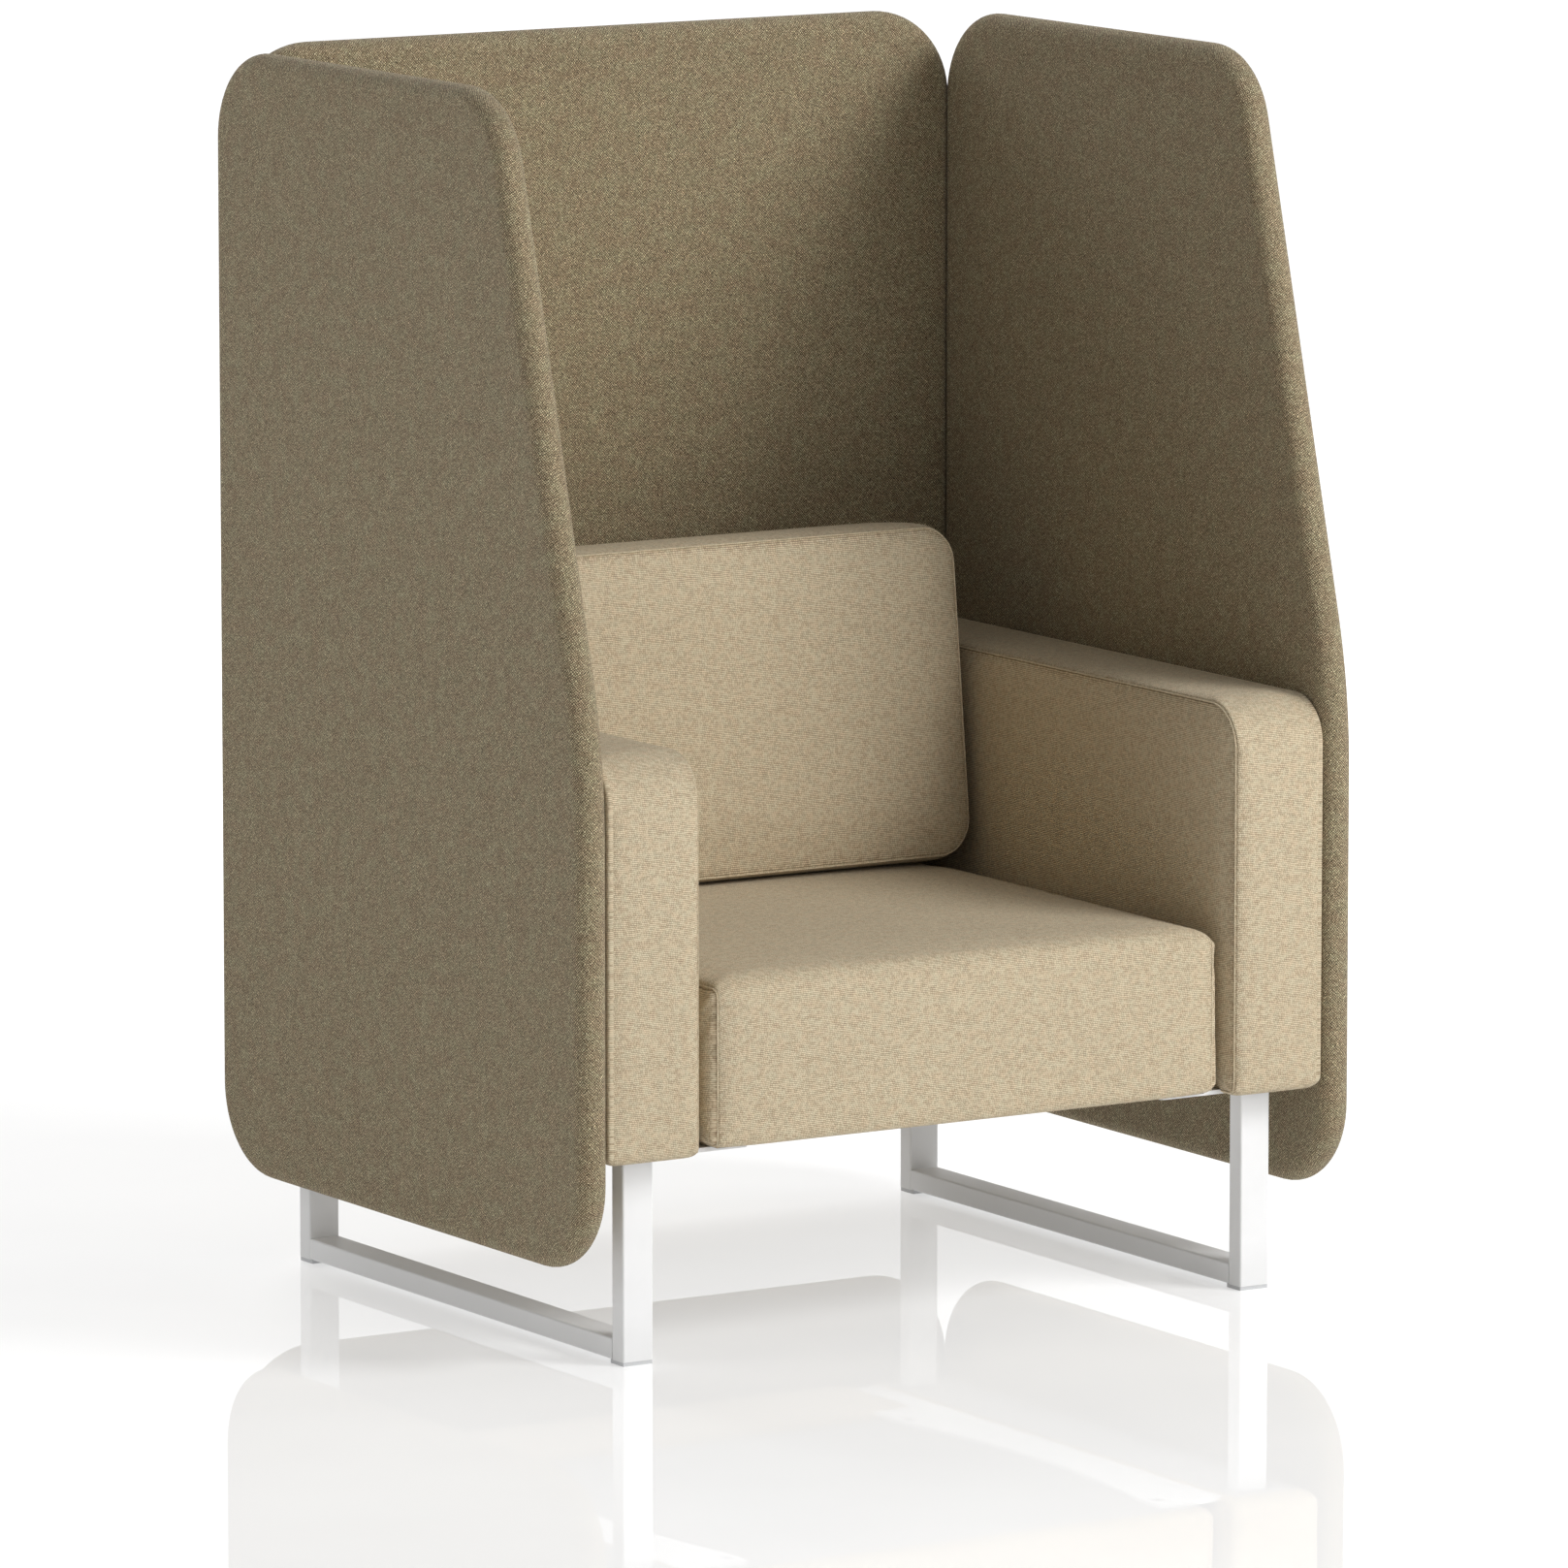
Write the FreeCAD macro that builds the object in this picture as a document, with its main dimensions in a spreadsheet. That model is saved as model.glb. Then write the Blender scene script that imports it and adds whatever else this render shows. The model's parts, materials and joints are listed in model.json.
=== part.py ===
import FreeCAD, Part
import math
import os
import re

import Sketcher
from FreeCAD import Placement, Rotation, Vector

# One-seat sofa between three upholstered screens, on two steel sleds.
# X runs across, to the right as seen from the front. Y runs from the front to the back. Z is up.
# The origin lies on the floor, in the middle of the outline.

# Directions of rods and axes.
RIGHTWARD = Vector(1, 0, 0)
REARWARD = Vector(0, 1, 0)
UPWARD = Vector(0, 0, 1)

# Driving sizes, in millimetres and degrees.
SIZES = {
    # seat block
    "seat_width": 691,
    "seat_depth": 645,
    "seat_thickness": 192,
    "seat_crown": 6,
    "seat_swell": 4,
    "seat_corner_margin": 4,
    "seat_edge": 22,
    "seat_gap": 16,
    "seat_setback": 3.5,
    # arms
    "arm_width": 124,
    "arm_tall": 463,
    "arm_setback": 8,
    "arm_rear_gap": 8,
    "arm_front_round": 55,
    "arm_toe_round": 18,
    "arm_rear_round": 14,
    "arm_outer_edge": 14,
    "arm_inner_edge": 7,
    "arm_lip": 18,
    # back box and back cushion
    "back_depth": 171.5,
    "back_lean": 6.5,
    "back_top_round": 25,
    "back_toe_round": 10,
    "back_side_edge": 10,
    "cushion_gap": 16,
    "cushion_tall": 405,
    "cushion_thickness": 158,
    "cushion_crown": 8,
    "cushion_swell": 5,
    "cushion_corner": 50,
    "cushion_edge": 18,
    "cushion_board": 12,
    "cushion_board_inset": 12,
    "rest_gap": 0.3,
    # screens
    "screen_thickness": 38,
    "screen_edge": 18.5,
    "screen_tall": 1327,
    "screen_drop": 130.5,
    "screen_corner": 105,
    "screen_lean": 15,
    "lean_rise": 3.5,
    "lean_blend": 700,
    "screen_gap": 0.4,
    "screen_fabric": 1.5,
    "core_thickness": 12,
    "core_inset": 12,
    "core_foot": 3,
    "screen_slot": 16,
    # upholstery layers
    "cover_thickness": 2,
    "cloth_thickness": 1,
    "side_foam": 8,
    "front_foam": 25,
    "top_foam": 30,
    "back_foam": 10,
    "soft_clearance": 0.5,
    # timber
    "panel_thickness": 12,
    "board_thickness": 22,
    "rail_thickness": 25,
    "rail_height": 70,
    "block_length": 60,
    "strap_width": 60,
    "strap_thickness": 2,
    "timber_round": 1,
    # steel sleds
    "tube_width": 40,
    "tube_depth": 25,
    "tube_wall": 2,
    "tube_round": 2.5,
    "leg_top": 240,
    "leg_inset": 44.5,
    "leg_setback": 51,
    "leg_rear_setback": 25,
    "glide_thickness": 4.6,
    "glide_length": 28,
    "glide_inset": 1,
    "glide_plug": 12,
    "glide_fit": 0.2,
    # link plates
    "plate_thickness": 5,
    "plate_overhang": 12,
    "plate_reach": 64,
    "plate_waist": 42,
    "plate_waist_round": 1200,
    "plate_ear_front": 40,
    "plate_ear_rear": 50,
    "plate_round": 5,
    "plate_fit": 0.5,
    # fasteners
    "bolt_diameter": 8,
    "bolt_head": 16,
    "bolt_head_tall": 4.4,
    "bolt_tip": 2,
    "bolt_from_leg": 55,
    "bolt_from_ear": 14,
    "bolt_from_rail": 14,
    "bolt_from_back": 55,
    "bolt_from_board": 30,
    "socket_width": 5,
    "socket_depth": 2.5,
    "hole_clearance": 0.5,
    "thread_clearance": 0.1,
    "nut_barrel": 10,
    "nut_barrel_tall": 9,
    "nut_flange": 19,
    "nut_flange_tall": 1.5,
    "insert_diameter": 12,
    "screen_bolt_head": 14,
    "screen_bolt_head_tall": 5,
    "screen_bolt_inset": 90,
    "screen_bolt_offset": 230,
    "screen_bolt_depth": 10,
    "screw_diameter": 5,
    "screw_head": 9,
    "screw_head_tall": 2.5,
    "screw_bite_depth": 9,
    "screw_offset": 220,
    "screw_low_height": 60,
    "screw_high_height": 180,
    # how far a cutting block passes the faces that it cuts
    "overcut": 6,
}

# Counts of repeated pieces and sides.
STRAP_COUNT = 6
SOCKET_SIDES = 6

# Lengths that differ by less than this are the same.
TOLERANCE = 0.01

# Places that follow from the driving sizes.
PLACES = {
    # front to back
    "corner_offset": "(screen_thickness + screen_gap) * cos(45)",
    "seat_start": "arm_setback + seat_setback",
    "overall_depth": "seat_start + seat_depth + back_depth + 2 * soft_clearance + screen_thickness",
    "screen_front": "-overall_depth / 2",
    "arm_front": "screen_front + arm_setback",
    "seat_front": "arm_front + seat_setback",
    "seat_rear": "seat_front + seat_depth",
    "back_front": "seat_rear + soft_clearance",
    "back_rear": "back_front + back_depth",
    "screen_face": "back_rear + soft_clearance",
    "screen_rear": "screen_face + screen_thickness - corner_offset",
    "arm_rear": "screen_face - arm_rear_gap",
    "leg_front": "screen_front + leg_setback",
    "leg_rear": "arm_rear - leg_rear_setback",
    # middle to side
    "seat_half": "seat_width / 2",
    "arm_inner": "seat_half + seat_gap",
    "arm_outer": "arm_inner + arm_width",
    "screen_inner": "arm_outer + soft_clearance",
    "back_screen_half": "screen_inner + screen_thickness - corner_offset",
    "leg_outer": "arm_outer - leg_inset",
    "leg_inner": "leg_outer - tube_width",
    "leg_middle": "leg_outer - tube_width / 2",
    "ear_side": "seat_half - plate_reach",
    # floor to top
    "plate_top": "leg_top + plate_thickness",
    "board_top": "plate_top + board_thickness",
    "seat_top": "plate_top + seat_thickness",
    "arm_bottom": "leg_top - cloth_thickness",
    "arm_top": "arm_bottom + arm_tall",
    "back_bottom": "leg_top - cover_thickness",
    "screen_bottom": "plate_top - screen_drop",
    "screen_top": "screen_bottom + screen_tall",
    "lean_start": "arm_top + lean_rise",
    # seat corners, rounder than the rolled rim that runs into them
    "seat_corner": "seat_edge + seat_corner_margin",
    # seat frame
    "seat_skin": "seat_swell + cover_thickness + side_foam",
    "seat_frame_half": "seat_half - seat_skin",
    "seat_frame_front": "seat_front + seat_skin",
    "seat_frame_rear": "seat_rear - seat_skin",
    "seat_frame_bottom": "plate_top + cloth_thickness",
    "rail_top": "seat_frame_bottom + rail_height",
    "strap_top": "rail_top + strap_thickness",
    "rail_inner": "seat_frame_half - rail_thickness",
    "rail_front_inner": "seat_frame_front + rail_thickness",
    "rail_rear_inner": "seat_frame_rear - rail_thickness",
    # arm frame
    "arm_frame_inner": "arm_inner + cover_thickness + side_foam",
    "arm_frame_outer": "arm_outer - cover_thickness - side_foam",
    "arm_frame_front": "arm_front + cover_thickness + front_foam",
    "arm_frame_rear": "arm_rear - cover_thickness - side_foam",
    "arm_frame_top": "arm_top - cover_thickness - top_foam",
    "arm_gap_inner": "arm_frame_inner + panel_thickness",
    "arm_gap_outer": "arm_frame_outer - panel_thickness",
    # back frame
    "back_frame_half": "seat_half - cover_thickness - side_foam",
    "back_gap_half": "back_frame_half - panel_thickness",
    "back_board_skin": "cover_thickness + back_foam",
    "back_panel_skin": "back_board_skin + panel_thickness",
    "back_board_front": "back_rear - board_thickness",
    # back cushion
    "cushion_half": "arm_inner - cushion_gap",
    "cushion_low": "seat_top + rest_gap",
    "cushion_back": "back_front + (cushion_low - back_bottom) * tan(back_lean) - rest_gap / cos(back_lean)",
    "screw_reach": "rest_gap + back_panel_skin",
    # screens
    "core_middle": "screen_thickness / 2",
    "core_skin": "(screen_thickness - core_thickness) / 2",
}

doc = FreeCAD.newDocument("privacy_booth_sofa")
sheet = doc.addObject("Spreadsheet::Sheet", "sizes")
nodes = []


def fill_sheet():
    """Writes the driving sizes as numbers and the places as formulas, each cell with its name as alias."""
    rows = [(name, str(number)) for name, number in SIZES.items()]
    rows += [(name, "=" + formula) for name, formula in PLACES.items()]
    for row, (name, content) in enumerate(rows, start=1):
        sheet.set(f"A{row}", name)
        sheet.set(f"B{row}", content)
        sheet.setAlias(f"B{row}", name)
    doc.recompute()


def linked(formula):
    """Turns a formula in sheet words into one that any object can use."""
    known = SIZES.keys() | PLACES.keys()
    return re.sub(r"[a-z_]\w*", lambda word: f"sizes.{word[0]}" if word[0] in known else word[0], formula)


def value(formula):
    """The number that a formula gives now."""
    return float(sheet.evalExpression(linked(formula)))


def bind(thing, **formulas):
    """Binds properties of an object to formulas in sheet words; double underscores stand for dots."""
    for name, formula in formulas.items():
        thing.setExpression(name.replace("__", "."), linked(formula))
    return thing


def place(thing, across="0", along="0", up="0"):
    """Binds the position of an object."""
    return bind(thing, Placement__Base__x=across, Placement__Base__y=along, Placement__Base__z=up)


def named(kind, label):
    """A new object of the document with its label."""
    thing = doc.addObject(kind, label)
    thing.Label = label
    return thing


def keep(thing):
    """Lists an object as a piece of the sofa, to be written under its label."""
    nodes.append(thing)
    return thing


def box(label, across, along, up):
    """A box between pairs of formulas along X, Y and Z."""
    thing = named("Part::Box", label)
    lows, highs = zip(across, along, up)
    for side, low, high in zip(("Length", "Width", "Height"), lows, highs):
        bind(thing, **{side: f"{high} - ({low})"})
    return place(thing, *lows)


def rod(label, diameter, length, spot, direction=UPWARD):
    """A round bar that starts at a spot and runs along a direction."""
    thing = named("Part::Cylinder", label)
    thing.Placement = Placement(Vector(), Rotation(UPWARD, direction))
    bind(thing, Radius=f"({diameter}) / 2", Height=length)
    return place(thing, *spot)


def cut(label, base, *tools):
    """A piece with one or more tools taken away."""
    thing = named("Part::Cut", label)
    thing.Base = base
    thing.Tool = tools[0] if len(tools) == 1 else group(label + "_tools", tools)
    return thing


def fuse(label, *parts):
    """Several solids grown into one."""
    thing = named("Part::MultiFuse", label)
    thing.Shapes = list(parts)
    return thing


def group(label, parts):
    """Several separate solids under one label."""
    thing = named("Part::Compound", label)
    thing.Links = list(parts)
    return thing


def mirror(label, source):
    """The same piece on the other side of the middle plane."""
    thing = named("Part::Mirroring", label)
    thing.Source = source
    thing.Normal = RIGHTWARD
    return thing


def pair(piece, maker):
    """Makes a right-hand piece with its maker and mirrors it to the left."""
    right = keep(maker("right_" + piece))
    keep(mirror("left_" + piece, right))
    return right


def plane_of(body, role):
    """One of a body's own origin planes."""
    return next(feature for feature in body.Origin.OriginFeatures if feature.Role == role)


def corner_cuts(spots, radii):
    """How far each rounded corner shortens its two sides, and whether the corner points outwards."""
    cuts = []
    outward = []
    for index, spot in enumerate(spots):
        back = (spots[index - 1] - spot).normalize()
        ahead = (spots[(index + 1) % len(spots)] - spot).normalize()
        opening = back.getAngle(ahead)
        cuts.append(radii[index] / math.tan(opening / 2))
        outward.append(ahead.cross(back).z > 0)
    return cuts, outward


def add_outline(sketch, corners):
    """Adds a closed outline, counter-clockwise, whose corners are (across, up, radius) in sheet words."""
    count = len(corners)
    spots = [Vector(value(across), value(up), 0) for across, up, _ in corners]
    radii = [value(radius) for *_, radius in corners]
    cuts, outward = corner_cuts(spots, radii)
    ahead = [(spots[(i + 1) % count] - spots[i]).normalize() for i in range(count)]
    starts = [spots[i] + ahead[i] * cuts[i] for i in range(count)]
    ends = [spots[(i + 1) % count] - ahead[i] * cuts[(i + 1) % count] for i in range(count)]
    lines = [sketch.addGeometry(Part.LineSegment(starts[i], ends[i])) for i in range(count)]
    rules = []
    formulas = []

    def rule(*terms, formula=None):
        rules.append(Sketcher.Constraint(*terms))
        formulas.append(formula)

    for i, (across, up, radius) in enumerate(corners):
        before = lines[i - 1]
        corner = sketch.addGeometry(Part.Point(spots[i]), True)
        side = Vector(-ahead[i].y, ahead[i].x, 0) * (radii[i] if outward[i] else -radii[i])
        middle = starts[i] + side
        first, last = (ends[i - 1], starts[i]) if outward[i] else (starts[i], ends[i - 1])
        angles = [math.atan2(point.y - middle.y, point.x - middle.x) for point in (first, last)]
        arc = sketch.addGeometry(Part.ArcOfCircle(Part.Circle(middle, UPWARD, radii[i]), *angles))
        rule("PointOnObject", corner, 1, before)
        rule("PointOnObject", corner, 1, lines[i])
        rule("Tangent", before, 2, arc, 1 if outward[i] else 2)
        rule("Tangent", lines[i], 1, arc, 2 if outward[i] else 1)
        rule("Radius", arc, radii[i], formula=radius)
        rule("DistanceX", -1, 1, corner, 1, spots[i].x, formula=across)
        rule("DistanceY", -1, 1, corner, 1, spots[i].y, formula=up)
    first_rule = sketch.ConstraintCount
    sketch.addConstraint(rules)
    for offset, formula in enumerate(formulas):
        if formula is not None:
            sketch.setExpression(f"Constraints[{first_rule + offset}]", linked(formula))


def outline_sketch(body, role, label, *outlines, level=None):
    """A sketch on one of a body's own planes, or at a level above it, with one or more outlines."""
    sketch = body.newObject("Sketcher::SketchObject", label)
    sketch.AttachmentSupport = (plane_of(body, role), [""])
    sketch.MapMode = "FlatFace"
    if level is not None:
        sketch.setExpression("AttachmentOffset.Base.z", linked(level))
    for corners in outlines:
        add_outline(sketch, corners)
    return sketch


def pad(body, sketch, length):
    """Gives a sketch its thickness."""
    feature = body.newObject("PartDesign::Pad", sketch.Label + "_pad")
    feature.Profile = sketch
    return bind(feature, Length=length)


def slab(label, role, length, *outlines):
    """A body of one or more outlines of even thickness."""
    body = named("PartDesign::Body", label)
    sketch = outline_sketch(body, role, label + "_outline", *outlines)
    pad(body, sketch, length)
    doc.recompute()
    return body


def round_rim(body, axis, level, radius):
    """Rounds every edge of a body's last feature that lies at one level along an axis."""
    base = body.Tip
    depth = value(level)
    edges = []
    for number, edge in enumerate(base.Shape.Edges, start=1):
        limits = edge.BoundBox
        low, high = {"x": (limits.XMin, limits.XMax), "y": (limits.YMin, limits.YMax)}[axis]
        if max(abs(low - depth), abs(high - depth)) < TOLERANCE:
            edges.append(f"Edge{number}")
    feature = body.newObject("PartDesign::Fillet", f"{body.Label}_rim")
    feature.Base = (base, edges)
    bind(feature, Radius=radius)
    doc.recompute()


def rectangle(across, up, radius):
    """The corners of an upright rectangle between two pairs of formulas."""
    left, right = across
    low, high = up
    return [(left, low, radius), (right, low, radius), (right, high, radius), (left, high, radius)]


def soft_block(label, half_width, span, swell, inset, levels, corner, peak, crown, edge):
    """A soft block on its flat face: drawn in below and above, crowned as a shallow dome, with a rolled rim.

    The outline is a rectangle of half_width and span, drawn in by swell at the first and last level.
    The dome peaks at the middle and drops by crown at half_width.
    inset draws the whole form in, for the inner face of a cover."""
    body = named("PartDesign::Body", label)
    start, end = span
    sketches = []
    for number, (level, drawn) in enumerate(zip(levels, (swell, "0", swell))):
        side = f"{half_width} - ({drawn}) - ({inset})"
        ends = (f"{start} + ({drawn}) + ({inset})", f"{end} - ({drawn}) - ({inset})")
        outline = rectangle((f"-({side})", side), ends, f"{corner} - ({inset})")
        sketches.append(outline_sketch(body, "XY_Plane", f"{label}_level_{number}", outline, level=level))
    loft = body.newObject("PartDesign::AdditiveLoft", label + "_loft")
    loft.Profile = sketches[0]
    loft.Sections = sketches[1:]
    doc.recompute()
    dome_radius = f"(({half_width})^2 + ({crown})^2) / (2 * ({crown}))"
    middle = f"(({start}) + ({end})) / 2"
    dome = named("Part::Sphere", label + "_dome")
    dome.Placement = Placement(Vector(), Rotation(UPWARD, REARWARD))
    bind(dome, Radius=dome_radius)
    place(dome, "0", middle, f"{peak} - ({inset}) - {dome_radius}")
    top = named("Part::Common", label + "_domed")
    top.Base = body
    top.Tool = dome
    doc.recompute()
    rolled = named("PartDesign::Body", label + "_rolled")
    rolled.BaseFeature = top
    doc.recompute()
    base = rolled.Tip
    dome_faces = [face for face in base.Shape.Faces if isinstance(face.Surface, Part.Sphere)]
    rim = [edge for face in dome_faces for edge in face.Edges]
    names = [f"Edge{n}" for n, e in enumerate(base.Shape.Edges, start=1) if any(e.isSame(r) for r in rim)]
    fillet = rolled.newObject("PartDesign::Fillet", label + "_rim")
    fillet.Base = (base, names)
    bind(fillet, Radius=f"{edge} - ({inset})")
    doc.recompute()
    return rolled


def legs_and_rails():
    """The four legs, the two floor rails between them and the glides they stand on."""
    wall_round = "tube_round - tube_wall / 2"

    def leg(label, front):
        outer = rectangle(("leg_inner", "leg_outer"), (front, f"{front} + tube_depth"), "tube_round")
        inner = rectangle(("leg_inner + tube_wall", "leg_outer - tube_wall"),
                          (f"{front} + tube_wall", f"{front} + tube_depth - tube_wall"), wall_round)
        tube = slab(label, "XY_Plane", "leg_top - glide_thickness", outer, inner)
        return place(tube, up="glide_thickness")

    def floor_rail(label):
        outer = rectangle(("leg_inner", "leg_outer"), ("0", "tube_depth"), "tube_round")
        inner = rectangle(("leg_inner + tube_wall", "leg_outer - tube_wall"),
                          ("tube_wall", "tube_depth - tube_wall"), wall_round)
        tube = slab(label, "XZ_Plane", "leg_rear - leg_front - 2 * tube_depth", outer, inner)
        return place(tube, along="leg_rear - tube_depth", up="glide_thickness")

    pair("front_leg", lambda label: leg(label, "leg_front"))
    pair("rear_leg", lambda label: leg(label, "leg_rear - tube_depth"))
    pair("floor_rail", floor_rail)

    glides = []
    plug = "tube_wall + glide_fit"
    for end, front, pad_front in (
        ("front", "leg_front", "leg_front + glide_inset"),
        ("rear", "leg_rear - tube_depth", "leg_rear - glide_inset - glide_length"),
    ):
        foot = box(f"{end}_glide_pad", ("leg_inner + glide_inset", "leg_outer - glide_inset"),
                   (pad_front, f"{pad_front} + glide_length"), ("0", "glide_thickness"))
        stem = box(f"{end}_glide_plug", (f"leg_inner + {plug}", f"leg_outer - ({plug})"),
                   (f"{front} + {plug}", f"{front} + tube_depth - ({plug})"),
                   ("glide_thickness", "glide_thickness + glide_plug"))
        glide = fuse(f"{end}_glide", foot, stem)
        glides += [glide, mirror(f"{end}_glide_left", glide)]
    keep(group("foot_glides", glides))


# Where the bolts of one side go through its link plate, as X and Y formulas.
PLATE_BOLTS = {
    "arm_front": ("leg_middle", "leg_front + tube_depth + bolt_from_leg"),
    "arm_middle": ("leg_middle", "(leg_front + leg_rear) / 2"),
    "arm_rear": ("leg_middle", "leg_rear - tube_depth - bolt_from_leg"),
    "seat_front": ("ear_side + bolt_from_ear", "rail_front_inner + bolt_from_rail"),
    "seat_rear": ("ear_side + bolt_from_ear", "rail_rear_inner - bolt_from_rail"),
    "back_front": ("ear_side + bolt_from_ear", "back_front + bolt_from_back"),
    "back_rear": ("ear_side + bolt_from_ear", "back_board_front - bolt_from_board"),
}


def plate_holes(label, diameter, spots):
    """Holes on both sides, from below the plates to above the boards, at the named bolts."""
    tools = []
    for spot in spots:
        across, along = PLATE_BOLTS[spot]
        hole = rod(f"{label}_{spot}", diameter, "board_top - leg_top + 2 * overcut",
                   (across, along, "leg_top - overcut"))
        tools += [hole, mirror(f"{label}_{spot}_left", hole)]
    return group(label, tools)


def link_plates():
    """The waisted plates on the legs, their countersunk bolts and the tee nuts in the boards above."""
    front = "leg_front - plate_overhang"

    def plate(label):
        outline = [
            ("ear_side", front, "plate_round"),
            ("leg_outer", front, "plate_round"),
            ("leg_outer", "leg_rear", "plate_round"),
            ("ear_side", "leg_rear", "plate_round"),
            ("ear_side", "seat_frame_rear - plate_ear_rear", "plate_round"),
            ("ear_side + plate_waist", "(leg_front + seat_frame_rear) / 2", "plate_waist_round"),
            ("ear_side", f"{front} + plate_ear_front", "plate_round"),
        ]
        blank = place(slab(label + "_blank", "XY_Plane", "plate_thickness", outline), up="leg_top")
        tools = []
        for spot, (across, along) in PLATE_BOLTS.items():
            sink = named("Part::Cone", f"plate_sink_{spot}")
            bind(sink, Radius1="bolt_head / 2 + thread_clearance", Height="bolt_head_tall",
                 Radius2="bolt_diameter / 2 + thread_clearance")
            place(sink, across, along, "leg_top")
            drill = rod(f"plate_drill_{spot}", "bolt_diameter + 2 * thread_clearance",
                        "plate_thickness + overcut", (across, along, "leg_top"))
            tools += [sink, drill]
        return cut(label, blank, *tools)

    pair("link_plate", plate)

    bolts = []
    nuts = []
    for spot, (across, along) in PLATE_BOLTS.items():
        head = named("Part::Cone", f"bolt_head_{spot}")
        bind(head, Radius1="bolt_head / 2", Radius2="bolt_diameter / 2", Height="bolt_head_tall")
        place(head, across, along, "leg_top")
        shank = rod(f"bolt_shank_{spot}", "bolt_diameter", "board_top - leg_top + bolt_tip",
                    (across, along, "leg_top"))
        socket = named("Part::Prism", f"bolt_socket_{spot}")
        socket.Polygon = SOCKET_SIDES
        bind(socket, Circumradius="socket_width / sqrt(3)", Height="socket_depth")
        place(socket, across, along, "leg_top")
        bolt = cut(f"bolt_{spot}", fuse(f"bolt_solid_{spot}", head, shank), socket)
        bolts += [bolt, mirror(f"bolt_{spot}_left", bolt)]

        barrel = rod(f"nut_barrel_{spot}", "nut_barrel", "nut_barrel_tall",
                     (across, along, "board_top - nut_barrel_tall"))
        flange = rod(f"nut_flange_{spot}", "nut_flange", "nut_flange_tall", (across, along, "board_top"))
        bore = rod(f"nut_bore_{spot}", "bolt_diameter + 2 * thread_clearance",
                   "nut_barrel_tall + nut_flange_tall + overcut",
                   (across, along, "board_top - nut_barrel_tall"))
        nut = cut(f"nut_{spot}", fuse(f"nut_solid_{spot}", barrel, flange), bore)
        nuts += [nut, mirror(f"nut_{spot}_left", nut)]
    keep(group("plate_bolts", bolts))
    keep(group("tee_nuts", nuts))


def seat():
    """The timber frame, corner blocks, straps, foam, cover and bottom cloth of the seat block."""
    frame_across = ("-seat_frame_half", "seat_frame_half")
    frame_along = ("seat_frame_front", "seat_frame_rear")
    rail_up = ("seat_frame_bottom", "rail_top")
    keep(box("seat_front_rail", frame_across, ("seat_frame_front", "rail_front_inner"), rail_up))
    keep(box("seat_rear_rail", frame_across, ("rail_rear_inner", "seat_frame_rear"), rail_up))
    pair("seat_rail", lambda label: box(label, ("rail_inner", "seat_frame_half"),
                                        ("rail_front_inner", "rail_rear_inner"), rail_up))

    blocks = []
    for end, along in (
        ("front", ("rail_front_inner", "rail_front_inner + block_length")),
        ("rear", ("rail_rear_inner - block_length", "rail_rear_inner")),
    ):
        block = box(f"{end}_block", ("rail_inner - block_length", "rail_inner"), along,
                    ("seat_frame_bottom", "board_top"))
        blocks += [block, mirror(f"{end}_block_left", block)]
    seat_spots = ("seat_front", "seat_rear")
    block_holes = plate_holes("block_hole", "nut_barrel", seat_spots)
    keep(cut("seat_corner_blocks", group("corner_blanks", blocks), block_holes))

    straps = []
    for number in range(STRAP_COUNT):
        middle = f"rail_inner * ({2 * number + 1 - STRAP_COUNT}) / {STRAP_COUNT}"
        straps.append(box(f"strap_{number}", (f"{middle} - strap_width / 2", f"{middle} + strap_width / 2"),
                          frame_along, ("rail_top", "strap_top")))
    keep(group("seat_webbing", straps))

    def form(label, inset, foot):
        levels = (foot, "plate_top + seat_thickness / 2", "seat_top")
        return soft_block(label, "seat_half", ("seat_front", "seat_rear"), "seat_swell", inset, levels,
                          "seat_corner", "seat_top", "seat_crown", "seat_edge")

    outer = form("seat_outer_form", "0", "plate_top")
    inner = form("seat_inner_form", "cover_thickness", "plate_top")
    keep(cut("seat_cover", outer, inner))
    hollow = box("seat_hollow", frame_across, frame_along, ("plate_top - overcut", "strap_top"))
    keep(cut("seat_foam", inner, hollow))
    cloth = box("seat_cloth_blank", frame_across, frame_along, ("plate_top", "seat_frame_bottom"))
    cloth_holes = plate_holes("cloth_hole", "bolt_diameter + 2 * hole_clearance", seat_spots)
    keep(cut("seat_bottom_cloth", cloth, cloth_holes))


def screen_bolt_spots():
    """Height and depth of the bolts that hold a side screen to its arm."""
    for depth in ("arm_frame_front + screen_bolt_inset", "arm_frame_rear - screen_bolt_inset"):
        for height in ("board_top + screen_bolt_inset", "arm_frame_top - screen_bolt_inset"):
            yield depth, height


def back_bolt_spots():
    """Place across and height of the bolts that hold the back screen to the back box."""
    for across in ("screen_bolt_offset", "-screen_bolt_offset"):
        for height in ("board_top + screen_bolt_inset", "arm_frame_top - screen_bolt_inset"):
            yield across, height


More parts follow.
